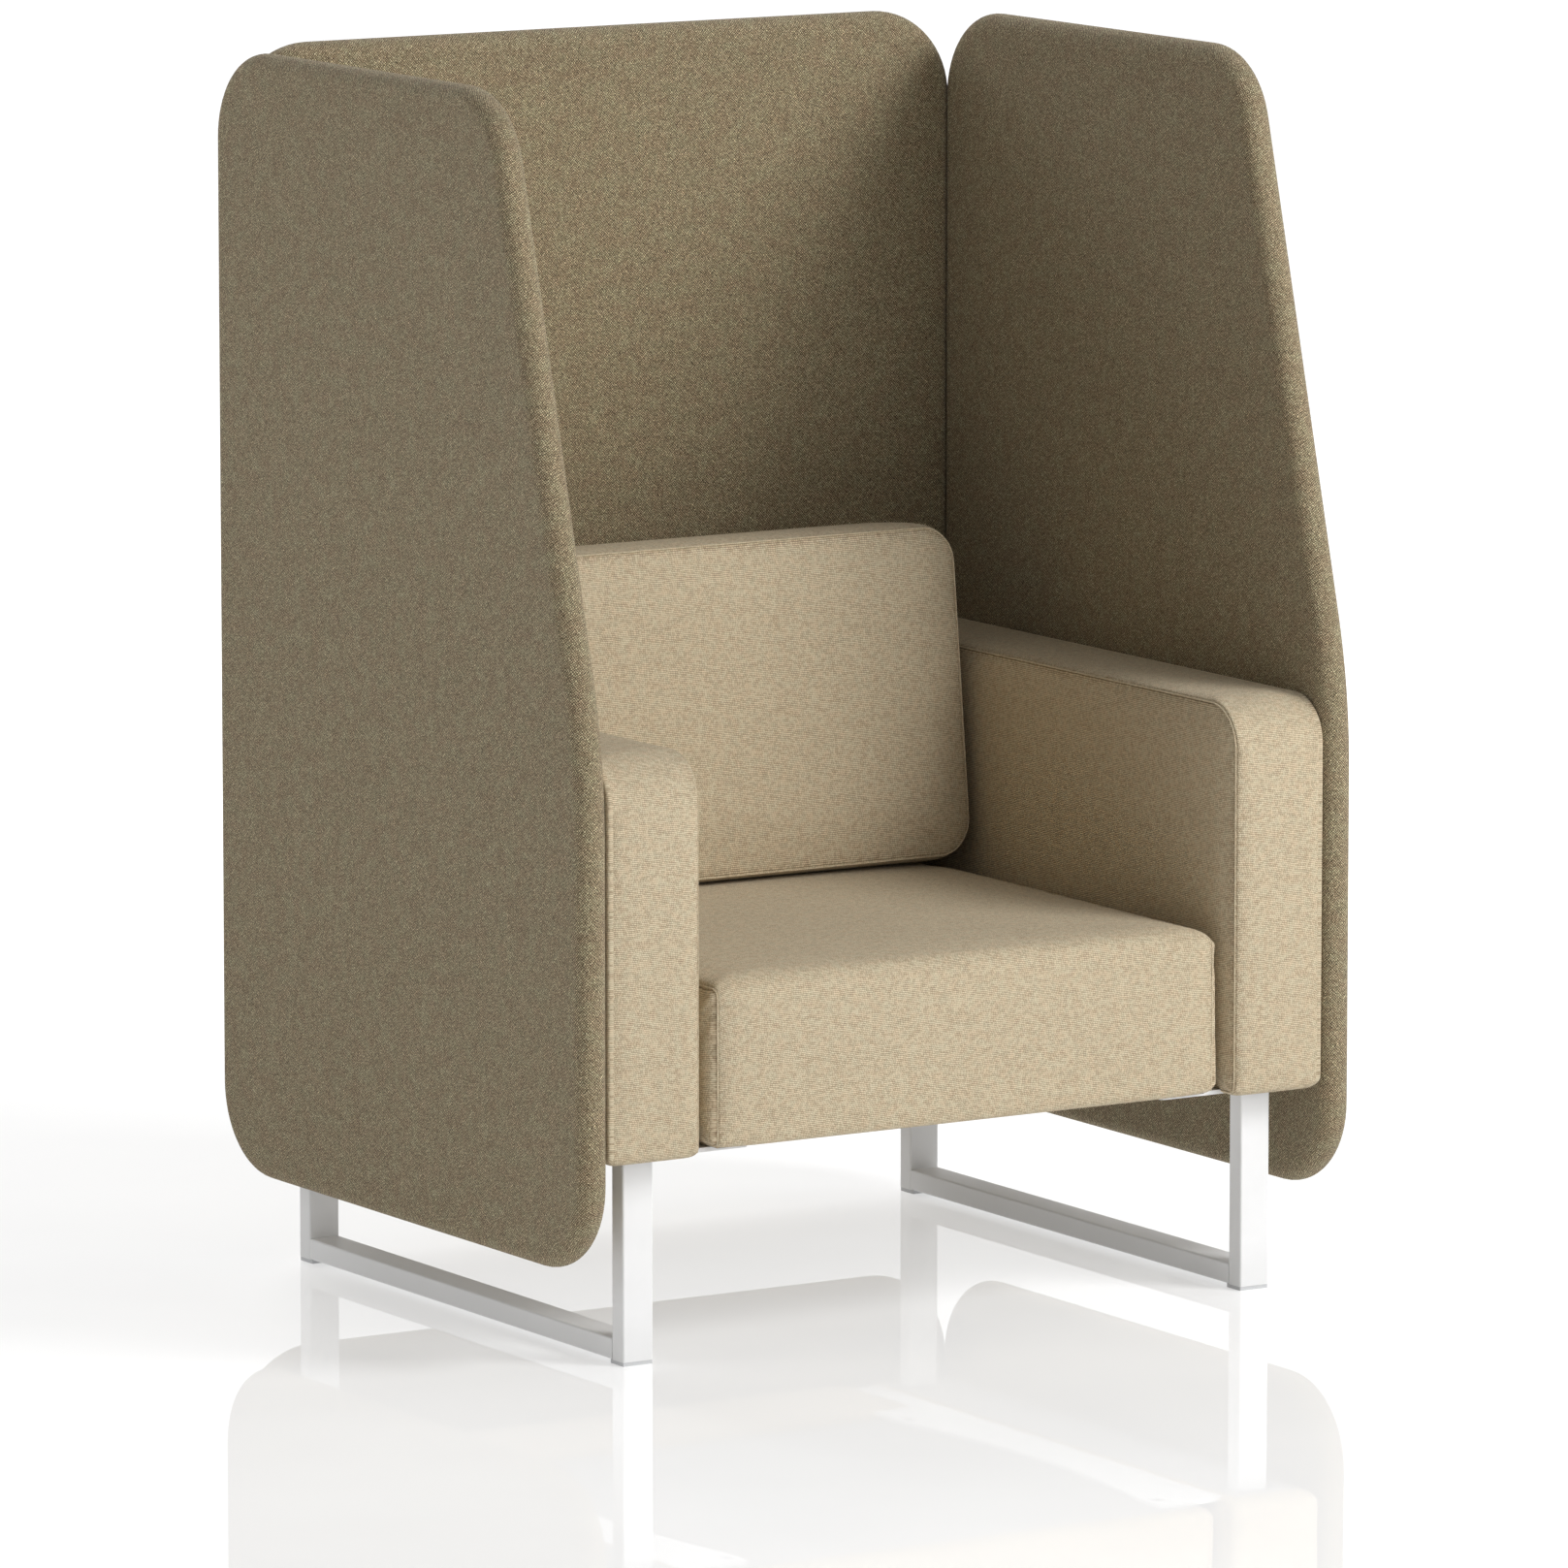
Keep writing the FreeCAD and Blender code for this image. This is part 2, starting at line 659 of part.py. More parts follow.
def arms():
    """The two arms: box frame of panels and boards, foam wrap, cover and bottom cloth."""
    along = ("arm_frame_front", "arm_frame_rear")
    between = ("arm_gap_inner", "arm_gap_outer")
    panel_up = ("plate_top", "arm_frame_top")
    post_up = ("board_top", "arm_frame_top - board_thickness")
    top_up = ("arm_frame_top - board_thickness", "arm_frame_top")
    front_along = ("arm_frame_front", "arm_frame_front + board_thickness")
    rear_along = ("arm_frame_rear - board_thickness", "arm_frame_rear")

    holes = []
    for number, (depth, height) in enumerate(screen_bolt_spots()):
        holes.append(rod(f"side_bolt_hole_{number}", "bolt_diameter + 2 * hole_clearance",
                         "screen_inner - arm_gap_outer + core_skin", ("arm_gap_outer", depth, height),
                         RIGHTWARD))
    bolt_holes = group("side_bolt_holes", holes)

    def outer_panel(label):
        blank = box(label + "_blank", ("arm_gap_outer", "arm_frame_outer"), along, panel_up)
        return cut(label, blank, bolt_holes)

    def bottom_board(label):
        blank = box(label + "_blank", between, along, ("plate_top", "board_top"))
        nut_holes = plate_holes("arm_board_hole", "nut_barrel", ("arm_front", "arm_middle", "arm_rear"))
        return cut(label, blank, nut_holes)

    pair("arm_outer_panel", outer_panel)
    pair("arm_inner_panel", lambda label: box(label, ("arm_frame_inner", "arm_gap_inner"), along, panel_up))
    pair("arm_top_board", lambda label: box(label, between, along, top_up))
    pair("arm_bottom_board", bottom_board)
    pair("arm_front_board", lambda label: box(label, between, front_along, post_up))
    pair("arm_rear_board", lambda label: box(label, between, rear_along, post_up))

    def form(label, inset):
        front, rear = f"arm_front + {inset}", f"arm_rear - {inset}"
        low, high = f"arm_bottom + {inset}", f"arm_top - {inset}"
        outline = [
            (front, low, f"arm_toe_round - {inset}"),
            (rear, low, f"arm_rear_round - {inset}"),
            (rear, high, f"arm_rear_round - {inset}"),
            (front, high, f"arm_front_round - {inset}"),
        ]
        body = slab(label, "YZ_Plane", f"arm_width - 2 * {inset}", outline)
        round_rim(body, "x", "0", f"arm_inner_edge - {inset}")
        round_rim(body, "x", f"arm_width - 2 * {inset}", f"arm_outer_edge - {inset}")
        return place(body, f"arm_inner + {inset}")

    outer = form("arm_outer_form", "0")
    inner = form("arm_inner_form", "cover_thickness")
    mouth_across = ("arm_inner + arm_lip", "arm_outer - arm_lip")
    mouth_along = ("arm_front + arm_lip", "arm_rear - arm_lip")
    mouth = box("arm_mouth", mouth_across, mouth_along,
                ("arm_bottom - overcut", "arm_bottom + cover_thickness + overcut"))
    plate_slot = box("arm_plate_slot", ("arm_inner - overcut", "arm_inner + arm_lip"),
                     ("leg_front - plate_overhang - plate_fit", "leg_rear + plate_fit"),
                     ("arm_bottom - overcut", "plate_top + plate_fit"))
    pair("arm_cover", lambda label: cut(label, outer, inner, mouth, plate_slot, bolt_holes))

    hollow = box("arm_hollow", ("arm_frame_inner", "arm_frame_outer"), along, ("arm_bottom", "arm_frame_top"))
    below = box("arm_below_frame", ("arm_inner", "arm_outer"), ("arm_front", "arm_rear"),
                ("arm_bottom", "plate_top"))
    pair("arm_foam", lambda label: cut(label, inner, hollow, below, bolt_holes))

    def bottom_cloth(label):
        blank = box(label + "_blank", mouth_across, mouth_along, ("arm_bottom", "leg_top"))
        openings = []
        for end, front in (("front", "leg_front"), ("rear", "leg_rear - tube_depth")):
            openings.append(box(f"{end}_leg_opening", ("leg_inner - plate_fit", "leg_outer + plate_fit"),
                                (f"{front} - plate_fit", f"{front} + tube_depth + plate_fit"),
                                ("arm_bottom - overcut", "leg_top + overcut")))
        return cut(label, blank, *openings)

    pair("arm_bottom_cloth", bottom_cloth)
    return bolt_holes


def leaning(height, skin):
    """The depth at a height of the line that lies a skin behind the leaning front of the back box."""
    return f"back_front + ({height} - back_bottom) * tan(back_lean) + ({skin}) / cos(back_lean)"


def leaning_slab(label, half, up, skin, rear, radii):
    """A block across the sofa between the leaning front, less a skin, and a rear line or plane."""
    low, high = up
    low_rear, high_rear = rear
    low_front_round, high_front_round, rear_round = radii
    outline = [
        (leaning(low, skin), low, low_front_round),
        (low_rear, low, rear_round),
        (high_rear, high, rear_round),
        (leaning(high, skin), high, high_front_round),
    ]
    return place(slab(label, "YZ_Plane", f"2 * ({half})", outline), f"-({half})")


def lean(thing):
    """Carries an object from the cushion's own frame, lying on its back, to its leaning place."""
    turn = "90 - back_lean"
    thing.Placement = Placement(Vector(), Rotation(RIGHTWARD, value(turn)))
    bind(thing, Placement__Rotation__Angle=turn)
    return place(thing, "0", "cushion_back", "cushion_low")


def cushion_rods(label, diameter, length, out):
    """Four rods square to the back cushion's board, at the cushion screws, in the cushion's own frame."""
    rods = []
    for height in ("screw_low_height", "screw_high_height"):
        for side in ("screw_offset", "-screw_offset"):
            rods.append(rod(label, diameter, length, (side, height, out)))
    return rods


def back():
    """The back box behind the cushion: boards, side panels, foam and cover."""
    frame_up = ("plate_top", "arm_frame_top")
    past = "back_rear + back_side_edge + overcut"
    timber_rounds = ("timber_round", "timber_round", "timber_round")
    screw_holes = cushion_rods("screw_hole", "screw_diameter + 2 * hole_clearance",
                               "screw_reach + panel_thickness", "-screw_reach - panel_thickness")
    clear_holes = lean(group("cushion_screw_holes", screw_holes))
    front_rear = tuple(leaning(height, "back_panel_skin") for height in frame_up)
    front_board = leaning_slab("back_front_blank", "back_frame_half", frame_up, "back_board_skin", front_rear,
                               timber_rounds)
    keep(cut("back_front_board", front_board, clear_holes))

    def side_panel(label):
        outline = [
            (leaning("board_top", "back_panel_skin"), "board_top", "timber_round"),
            ("back_board_front", "board_top", "timber_round"),
            ("back_board_front", "arm_frame_top", "timber_round"),
            (leaning("arm_frame_top", "back_panel_skin"), "arm_frame_top", "timber_round"),
        ]
        return place(slab(label, "YZ_Plane", "panel_thickness", outline), "back_gap_half")

    pair("back_panel", side_panel)
    board = leaning_slab("back_bottom_blank", "back_frame_half", ("plate_top", "board_top"),
                         "back_panel_skin", ("back_board_front", "back_board_front"), timber_rounds)
    nut_holes = plate_holes("back_board_hole", "nut_barrel", ("back_front", "back_rear"))
    keep(cut("back_bottom_board", board, nut_holes))

    holes = []
    for number, (across, height) in enumerate(back_bolt_spots()):
        holes.append(rod(f"back_bolt_hole_{number}", "bolt_diameter + 2 * hole_clearance",
                         "screen_face - back_board_front + core_skin", (across, "back_board_front", height),
                         REARWARD))
    bolt_holes = group("back_bolt_holes", holes)
    rear_board = box("back_rear_blank", ("-back_frame_half", "back_frame_half"),
                     ("back_board_front", "back_rear"), frame_up)
    keep(cut("back_rear_board", rear_board, bolt_holes))

    def form(label, inset, rear):
        up = (f"back_bottom + {inset}", f"arm_top - {inset}")
        radii = (f"back_toe_round - {inset}", f"back_top_round - {inset}", "timber_round")
        body = leaning_slab(label, f"seat_half - {inset}", up, inset, (rear, rear), radii)
        round_rim(body, "x", "0", f"back_side_edge - {inset}")
        round_rim(body, "x", f"2 * (seat_half - {inset})", f"back_side_edge - {inset}")
        return body

    outer = form("back_outer_form", "0", "back_rear + back_side_edge")
    inner = form("back_inner_form", "cover_thickness", "back_rear + back_side_edge")
    behind = box("behind_back", ("-seat_width", "seat_width"), ("back_rear", past), ("0", "screen_top"))
    slot = box("back_plate_slot", ("seat_half - back_side_edge - cover_thickness", "seat_half + overcut"),
               ("back_front", "leg_rear + plate_fit"), ("leg_top", "plate_top + plate_fit"))
    keep(cut("back_cover", outer, inner, behind, clear_holes, slot, mirror("back_plate_slot_left", slot)))
    hollow = leaning_slab("back_hollow", "back_frame_half", ("back_bottom", "arm_frame_top"),
                          "back_board_skin", (past, past), timber_rounds)
    below = box("back_below_frame", ("-seat_half", "seat_half"), ("seat_rear", past),
                ("0", "plate_top + plate_fit"))
    keep(cut("back_foam", inner, hollow, behind, below, clear_holes))
    return bolt_holes


def back_cushion():
    """The cushion of the back: board, foam and cover, and the screws that hold it to the back box."""

    def form(label, inset):
        levels = ("0", "cushion_thickness / 2", "cushion_thickness")
        return soft_block(label, "cushion_half", ("0", "cushion_tall"), "cushion_swell", inset, levels,
                          "cushion_corner", "cushion_thickness", "cushion_crown", "cushion_edge")

    outer = form("cushion_outer_form", "0")
    inner = form("cushion_inner_form", "cover_thickness")
    side = "cushion_half - cushion_board_inset"
    outline = rectangle((f"-({side})", side), ("cushion_board_inset", "cushion_tall - cushion_board_inset"),
                        "cushion_corner - cushion_board_inset")
    board = slab("cushion_board_blank", "XY_Plane", "cushion_board", outline)
    pilots = cushion_rods("pilot_hole", "screw_diameter + 2 * thread_clearance", "cushion_board", "0")
    keep(lean(cut("back_cushion_board", board, group("cushion_pilot_holes", pilots))))
    keep(lean(cut("back_cushion_foam", inner, board)))
    keep(lean(cut("back_cushion_cover", outer, inner)))

    heads = cushion_rods("screw_head", "screw_head", "screw_head_tall", "-screw_reach - screw_head_tall")
    shanks = cushion_rods("screw_shank", "screw_diameter", "screw_reach + screw_bite_depth", "-screw_reach")
    screws = [fuse(f"screw_{number}", *halves) for number, halves in enumerate(zip(heads, shanks))]
    keep(lean(group("cushion_screws", screws)))


def screens(side_holes, back_holes):
    """The three screens: core board, foam wrap and fabric cover with its closing slot along the foot."""
    tuck = "screen_fabric + core_foot"

    def side_outline(inset, foot):
        high = f"screen_top - ({inset})"
        slope = f"tan(screen_lean) * ({high} - lean_start)"
        corner = f"screen_corner - ({inset})"
        return [
            (f"screen_front + {inset}", f"screen_bottom + {foot}", corner),
            (f"screen_rear - ({inset})", f"screen_bottom + {foot}", corner),
            (f"screen_rear - ({inset})", high, corner),
            (f"screen_front + ({inset}) / cos(screen_lean) + {slope}", high, corner),
            (f"screen_front + {inset}", f"lean_start - ({inset}) * tan(screen_lean / 2)",
             f"lean_blend - ({inset})"),
        ]

    def back_outline(inset, foot):
        side = f"back_screen_half - ({inset})"
        return rectangle((f"-({side})", side), (f"screen_bottom + {foot}", f"screen_top - ({inset})"),
                         f"screen_corner - ({inset})")

    def side_form(label, inset):
        body = slab(label, "YZ_Plane", f"screen_thickness - 2 * {inset}", side_outline(inset, inset))
        round_rim(body, "x", "0", f"screen_edge - {inset}")
        round_rim(body, "x", f"screen_thickness - 2 * {inset}", f"screen_edge - {inset}")
        return place(body, f"screen_inner + {inset}")

    def back_form(label, inset):
        body = slab(label, "XZ_Plane", f"screen_thickness - 2 * {inset}", back_outline(inset, inset))
        round_rim(body, "y", "0", f"screen_edge - {inset}")
        round_rim(body, "y", f"2 * {inset} - screen_thickness", f"screen_edge - {inset}")
        return place(body, along=f"screen_face + screen_thickness - {inset}")

    slot_up = ("screen_bottom - overcut", "screen_bottom + overcut")
    foot_up = ("screen_bottom - overcut", f"screen_bottom + {tuck} + overcut")
    side_along = ("screen_front + screen_corner", "screen_rear - screen_corner")
    side_middle = "(screen_inner + core_middle)"
    side_across = (f"{side_middle} - screen_slot / 2", f"{side_middle} + screen_slot / 2")
    outer = side_form("side_screen_outer_form", "0")
    inner = side_form("side_screen_inner_form", "screen_fabric")
    slot = box("side_screen_slot", side_across, side_along, slot_up)
    core = slab("side_core_blank", "YZ_Plane", "core_thickness", side_outline("core_inset", tuck))
    place(core, "screen_inner + core_skin")
    foot = box("side_screen_foot",
               (f"{side_middle} - core_thickness / 2", f"{side_middle} + core_thickness / 2"),
               side_along, foot_up)
    inserts = []
    insert_holes = []
    bolts = []
    for number, (depth, height) in enumerate(screen_bolt_spots()):
        bolts.append(screen_bolt(f"side_screen_bolt_{number}", ("arm_gap_outer", depth, height), RIGHTWARD,
                                 "screen_inner + core_skin - arm_gap_outer"))
        hole, insert = screen_insert(f"side_insert_{number}", ("screen_inner + core_skin", depth, height),
                                     RIGHTWARD)
        insert_holes.append(hole)
        inserts.append(insert)
    bolts += [mirror(bolt.Label + "_left", bolt) for bolt in bolts]
    inserts += [mirror(insert.Label + "_left", insert) for insert in inserts]
    side_insert_holes = group("side_insert_holes", insert_holes)
    pair("screen_core", lambda label: cut(label, core, side_insert_holes))
    pair("screen_foam", lambda label: cut(label, inner, core, foot, side_holes))
    pair("screen_cover", lambda label: cut(label, outer, inner, slot, side_holes))

    back_across = ("screen_corner - back_screen_half", "back_screen_half - screen_corner")
    back_middle = "(screen_face + core_middle)"
    outer = back_form("back_screen_outer_form", "0")
    inner = back_form("back_screen_inner_form", "screen_fabric")
    slot = box("back_screen_slot", back_across,
               (f"{back_middle} - screen_slot / 2", f"{back_middle} + screen_slot / 2"), slot_up)
    core = slab("back_core_blank", "XZ_Plane", "core_thickness", back_outline("core_inset", tuck))
    place(core, along=f"{back_middle} + core_thickness / 2")
    foot = box("back_screen_foot", back_across,
               (f"{back_middle} - core_thickness / 2", f"{back_middle} + core_thickness / 2"), foot_up)
    insert_holes = []
    for number, (across, height) in enumerate(back_bolt_spots()):
        bolts.append(screen_bolt(f"back_screen_bolt_{number}", (across, "back_board_front", height), REARWARD,
                                 "screen_face + core_skin - back_board_front"))
        hole, insert = screen_insert(f"back_insert_{number}", (across, "screen_face + core_skin", height),
                                     REARWARD)
        insert_holes.append(hole)
        inserts.append(insert)
    keep(cut("back_screen_core", core, group("back_insert_holes", insert_holes)))
    keep(cut("back_screen_foam", inner, core, foot, back_holes))
    keep(cut("back_screen_cover", outer, inner, slot, back_holes))
    keep(group("screen_bolts", bolts))
    keep(group("screen_inserts", inserts))


def screen_bolt(label, spot, direction, grip):
    """A bolt whose head seats at a spot and whose shank runs through its grip into the insert."""
    head = rod(label + "_head", "screen_bolt_head", "screen_bolt_head_tall", spot, direction * -1)
    shank = rod(label + "_shank", "bolt_diameter", f"{grip} + screen_bolt_depth", spot, direction)
    return fuse(label, head, shank)


def screen_insert(label, spot, direction):
    """The hole for a threaded insert through a core board, and the insert itself."""
    hole = rod(label + "_hole", "insert_diameter", "core_thickness", spot, direction)
    bore = rod(label + "_bore", "bolt_diameter + 2 * thread_clearance", "core_thickness", spot, direction)
    return hole, cut(label, hole, bore)


def check_document():
    """Stops the build if any object failed or any piece is not a sound solid."""
    faults = [thing.Label for thing in doc.Objects if {"Invalid", "Error"} & set(thing.State)]
    faults += [thing.Label for thing in nodes if thing.Shape.isNull() or not thing.Shape.isValid()]
    if faults:
        raise RuntimeError("unsound: " + ", ".join(faults))


def write_pieces():
    """Writes each piece's solids to a file under its label."""
    os.makedirs("parts", exist_ok=True)
    for thing in nodes:
        thing.Shape.exportStep(f"parts/{thing.Label}.step")
        print(f"{thing.Label}: {len(thing.Shape.Solids)} solids, {thing.Shape.Volume / 1000:.1f} cm3")


fill_sheet()
legs_and_rails()
link_plates()
seat()
arm_holes = arms()
back_holes = back()
back_cushion()
screens(arm_holes, back_holes)
doc.recompute()
check_document()
write_pieces()
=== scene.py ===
# %% [markdown]
# # A sofa booth with three padded screens
# One seat stands on two white sled frames, between two box arms and in front of a back cushion, and three
# tall upholstered screens wall it in on the left, the right and behind. The solid model already holds every
# size and every hidden board. This lesson dresses it: it makes the soft covers over again as sewn, filled
# forms, gives each surface a finish, and sets up the light and the camera.

# %% Load the solid model
import json

import bpy
import numpy as np
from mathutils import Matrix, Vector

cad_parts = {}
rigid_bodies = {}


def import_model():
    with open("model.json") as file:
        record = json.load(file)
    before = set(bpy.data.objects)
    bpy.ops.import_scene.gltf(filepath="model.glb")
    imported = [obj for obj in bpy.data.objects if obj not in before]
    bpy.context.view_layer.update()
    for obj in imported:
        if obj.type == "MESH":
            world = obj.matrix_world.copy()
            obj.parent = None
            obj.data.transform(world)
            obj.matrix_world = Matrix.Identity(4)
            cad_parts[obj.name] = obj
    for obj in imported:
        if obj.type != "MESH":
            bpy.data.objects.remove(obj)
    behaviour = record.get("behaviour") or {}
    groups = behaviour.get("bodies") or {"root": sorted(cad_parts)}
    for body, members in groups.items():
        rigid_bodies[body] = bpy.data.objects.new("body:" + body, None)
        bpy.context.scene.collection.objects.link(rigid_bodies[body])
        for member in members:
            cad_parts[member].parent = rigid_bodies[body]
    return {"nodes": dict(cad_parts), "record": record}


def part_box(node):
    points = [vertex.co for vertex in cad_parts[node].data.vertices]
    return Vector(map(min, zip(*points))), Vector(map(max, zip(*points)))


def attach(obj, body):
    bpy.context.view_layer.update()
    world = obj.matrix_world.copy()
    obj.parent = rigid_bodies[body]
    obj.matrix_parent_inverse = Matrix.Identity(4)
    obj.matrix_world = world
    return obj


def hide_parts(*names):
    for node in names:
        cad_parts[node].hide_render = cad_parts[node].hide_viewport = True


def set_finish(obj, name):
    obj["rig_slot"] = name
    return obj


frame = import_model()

scene = bpy.context.scene
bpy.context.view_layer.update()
MM = 0.001

# %% [markdown]
# ## Camera
# The picture was taken from far away with a long lens, so upright lines stay parallel. A camera could be
# placed by eye, but its place and lens also follow from the corners of the sofa whose real positions are
# known, and these values came from such a fit.

# %% Place the camera
CAMERA_PLACE = (-7.19808, -11.64405, 2.68868)
CAMERA_TURN = np.radians((81.2544, 0, -31.7596))
CAMERA_LENS = 271.3
SENSOR_WIDTH = 36
FARTHEST_SEEN = 100

camera_data = bpy.data.cameras.new("camera")
camera_data.sensor_fit = "HORIZONTAL"
camera_data.sensor_width = SENSOR_WIDTH
camera_data.lens = CAMERA_LENS
camera_data.clip_end = FARTHEST_SEEN
camera = bpy.data.objects.new("camera", camera_data)
camera.location = CAMERA_PLACE
camera.rotation_euler = CAMERA_TURN
scene.collection.objects.link(camera)
scene.camera = camera
print("camera lens:", CAMERA_LENS, "mm")

# %% [markdown]
# ## Rounded outlines
# Every cover here is a slab with a rounded outline: a screen, an arm seen from its side, the seat in
# section, the back cushion from the front. A bevel on a box could round the corners, but then the size of
# the faces along the edge follows the bevel. Working the line out in numpy gives even faces, and an
# outward direction at each point, along which a seam or a rolled edge can be drawn in.

# %% Outline helper
ARC_POINTS = 33
END_GATHER = 0.35


def unit(vectors):
    """Vectors divided by their lengths."""
    return vectors / np.linalg.norm(vectors, axis=-1, keepdims=True)


def gathered(steps):
    """Shares from 0 to 1, closer together at both ends: t - g sin(2 pi t) / (2 pi)."""
    share = np.linspace(0, 1, steps + 1)
    return share - END_GATHER * np.sin(2 * np.pi * share) / (2 * np.pi)


def rectangle(low, high):
    """The four corners of a rectangle, counter-clockwise from the low one."""
    return [(low[0], low[1]), (high[0], low[1]), (high[0], high[1]), (low[0], high[1])]


def rounded_loop(corners, radii, steps):
    """Points, outward normals and lengths along a rounded closed line, counter-clockwise.

    A corner's arc has its centre radius / sin(half the angle) along the bisector, and a point on it is
    centre + radius * normal. The line is cut into four sides in the middle of its first four corners.
    Sides 0 and 2 get steps[0] steps, sides 1 and 3 get steps[1].
    """
    corners, radii = np.array(corners, float), np.array(radii, float)
    ahead = unit(np.roll(corners, -1, axis=0) - corners)
    behind = unit(np.roll(corners, 1, axis=0) - corners)
    half = np.arccos((ahead * behind).sum(axis=1)) / 2
    centres = corners + unit(ahead + behind) * (radii / np.sin(half))[:, None]
    first = np.arctan2(behind[:, 0], -behind[:, 1])
    angles = first[:, None] + (np.pi - 2 * half)[:, None] * np.linspace(0, 1, ARC_POINTS)
    normals = np.stack([np.cos(angles), np.sin(angles)], axis=-1)
    points = centres[:, None] + radii[:, None, None] * normals
    line = np.concatenate([points, normals], axis=-1).reshape(-1, 4)
    line = np.vstack([line, line[:1]])
    lengths = np.append(0, np.cumsum(np.linalg.norm(np.diff(line[:, :2], axis=0), axis=1)))
    cuts = lengths[np.arange(4) * ARC_POINTS + ARC_POINTS // 2]
    cuts = np.append(cuts, cuts[0] + lengths[-1])
    spots = [cuts[k] + (cuts[k + 1] - cuts[k]) * gathered(steps[k % 2])[:-1] for k in range(4)]
    spots = np.append(np.concatenate(spots), cuts[-1])
    on_line = spots[:-1] % lengths[-1]
    sampled = np.stack([np.interp(on_line, lengths, column) for column in line.T], axis=-1)
    return sampled[:, :2], unit(sampled[:, 2:]), spots


trial_loop = rounded_loop(rectangle((0, 0), (200, 100)), [20] * 4, (8, 4))
print("a rounded rectangle of 200 by 100 mm is", round(np.ptp(trial_loop[2]), 1), "mm round its edge")

# %% [markdown]
# ## Slabs with a rolled edge
# A cover is made of rings round its edge, each the outline drawn in by some millimetres at some depth, and
# a patch of faces over each side. Filling the sides with one many-sided face would be quicker, but cloth
# needs an even grid to swell, so each side is the patch that four curved borders span. The table of depths
# and insets is the profile of the edge: where it dips, the cover has a seam. Such tables are in millimetres,
# and the finished points in metres.

# %% Patch helpers
def border_patch(ring, steps):
    """The grid that fills a ring of four sides: the two ruled surfaces between opposite sides, added,
    less the bilinear surface through the four corners."""
    across, up = steps
    turn = np.arange(len(ring) + 1) % len(ring)
    low, right = turn[:across + 1], turn[across:across + up + 1]
    high, left = turn[across + up:2 * across + up + 1][::-1], turn[2 * across + up:][::-1]
    u, v = (share[..., None] for share in np.meshgrid(gathered(across), gathered(up)))
    ruled = (1 - v) * ring[low] + v * ring[high] + (1 - u) * ring[left][:, None] + u * ring[right][:, None]
    corners = (1 - v) * ((1 - u) * ring[low[0]] + u * ring[low[-1]])
    corners = corners + v * ((1 - u) * ring[high[0]] + u * ring[high[-1]])
    sides = np.empty((up + 1, across + 1), int)
    sides[0], sides[-1], sides[:, 0], sides[:, -1] = low, high, left, right
    return ruled - corners, sides, (1 - (2 * u - 1) ** 4) * (1 - (2 * v - 1) ** 4)


def cell_corners(grid):
    """The four corners of each cell of a grid, in turn: of its vertex numbers or of its places."""
    return np.stack([grid[:-1, :-1], grid[:-1, 1:], grid[1:, 1:], grid[1:, :-1]], axis=2)


def signed_volume(points, quads):
    """The sum over quads of a . (b x c) / 6 + a . (c x d) / 6, positive where faces point outwards."""
    a, b, c, d = points[quads].transpose(1, 0, 2)
    return ((a * np.cross(b, c)).sum() + (a * np.cross(c, d)).sum()) / 6


def turned_out(form):
    """The form with its faces wound so that they point outwards."""
    if signed_volume(form["points"], form["quads"]) < 0:
        return dict(form, quads=form["quads"][:, ::-1], weave=form["weave"][:, ::-1])
    return form


print("a patch of 8 by 4 steps has", border_patch(trial_loop[0], (8, 4))[1].size, "points")


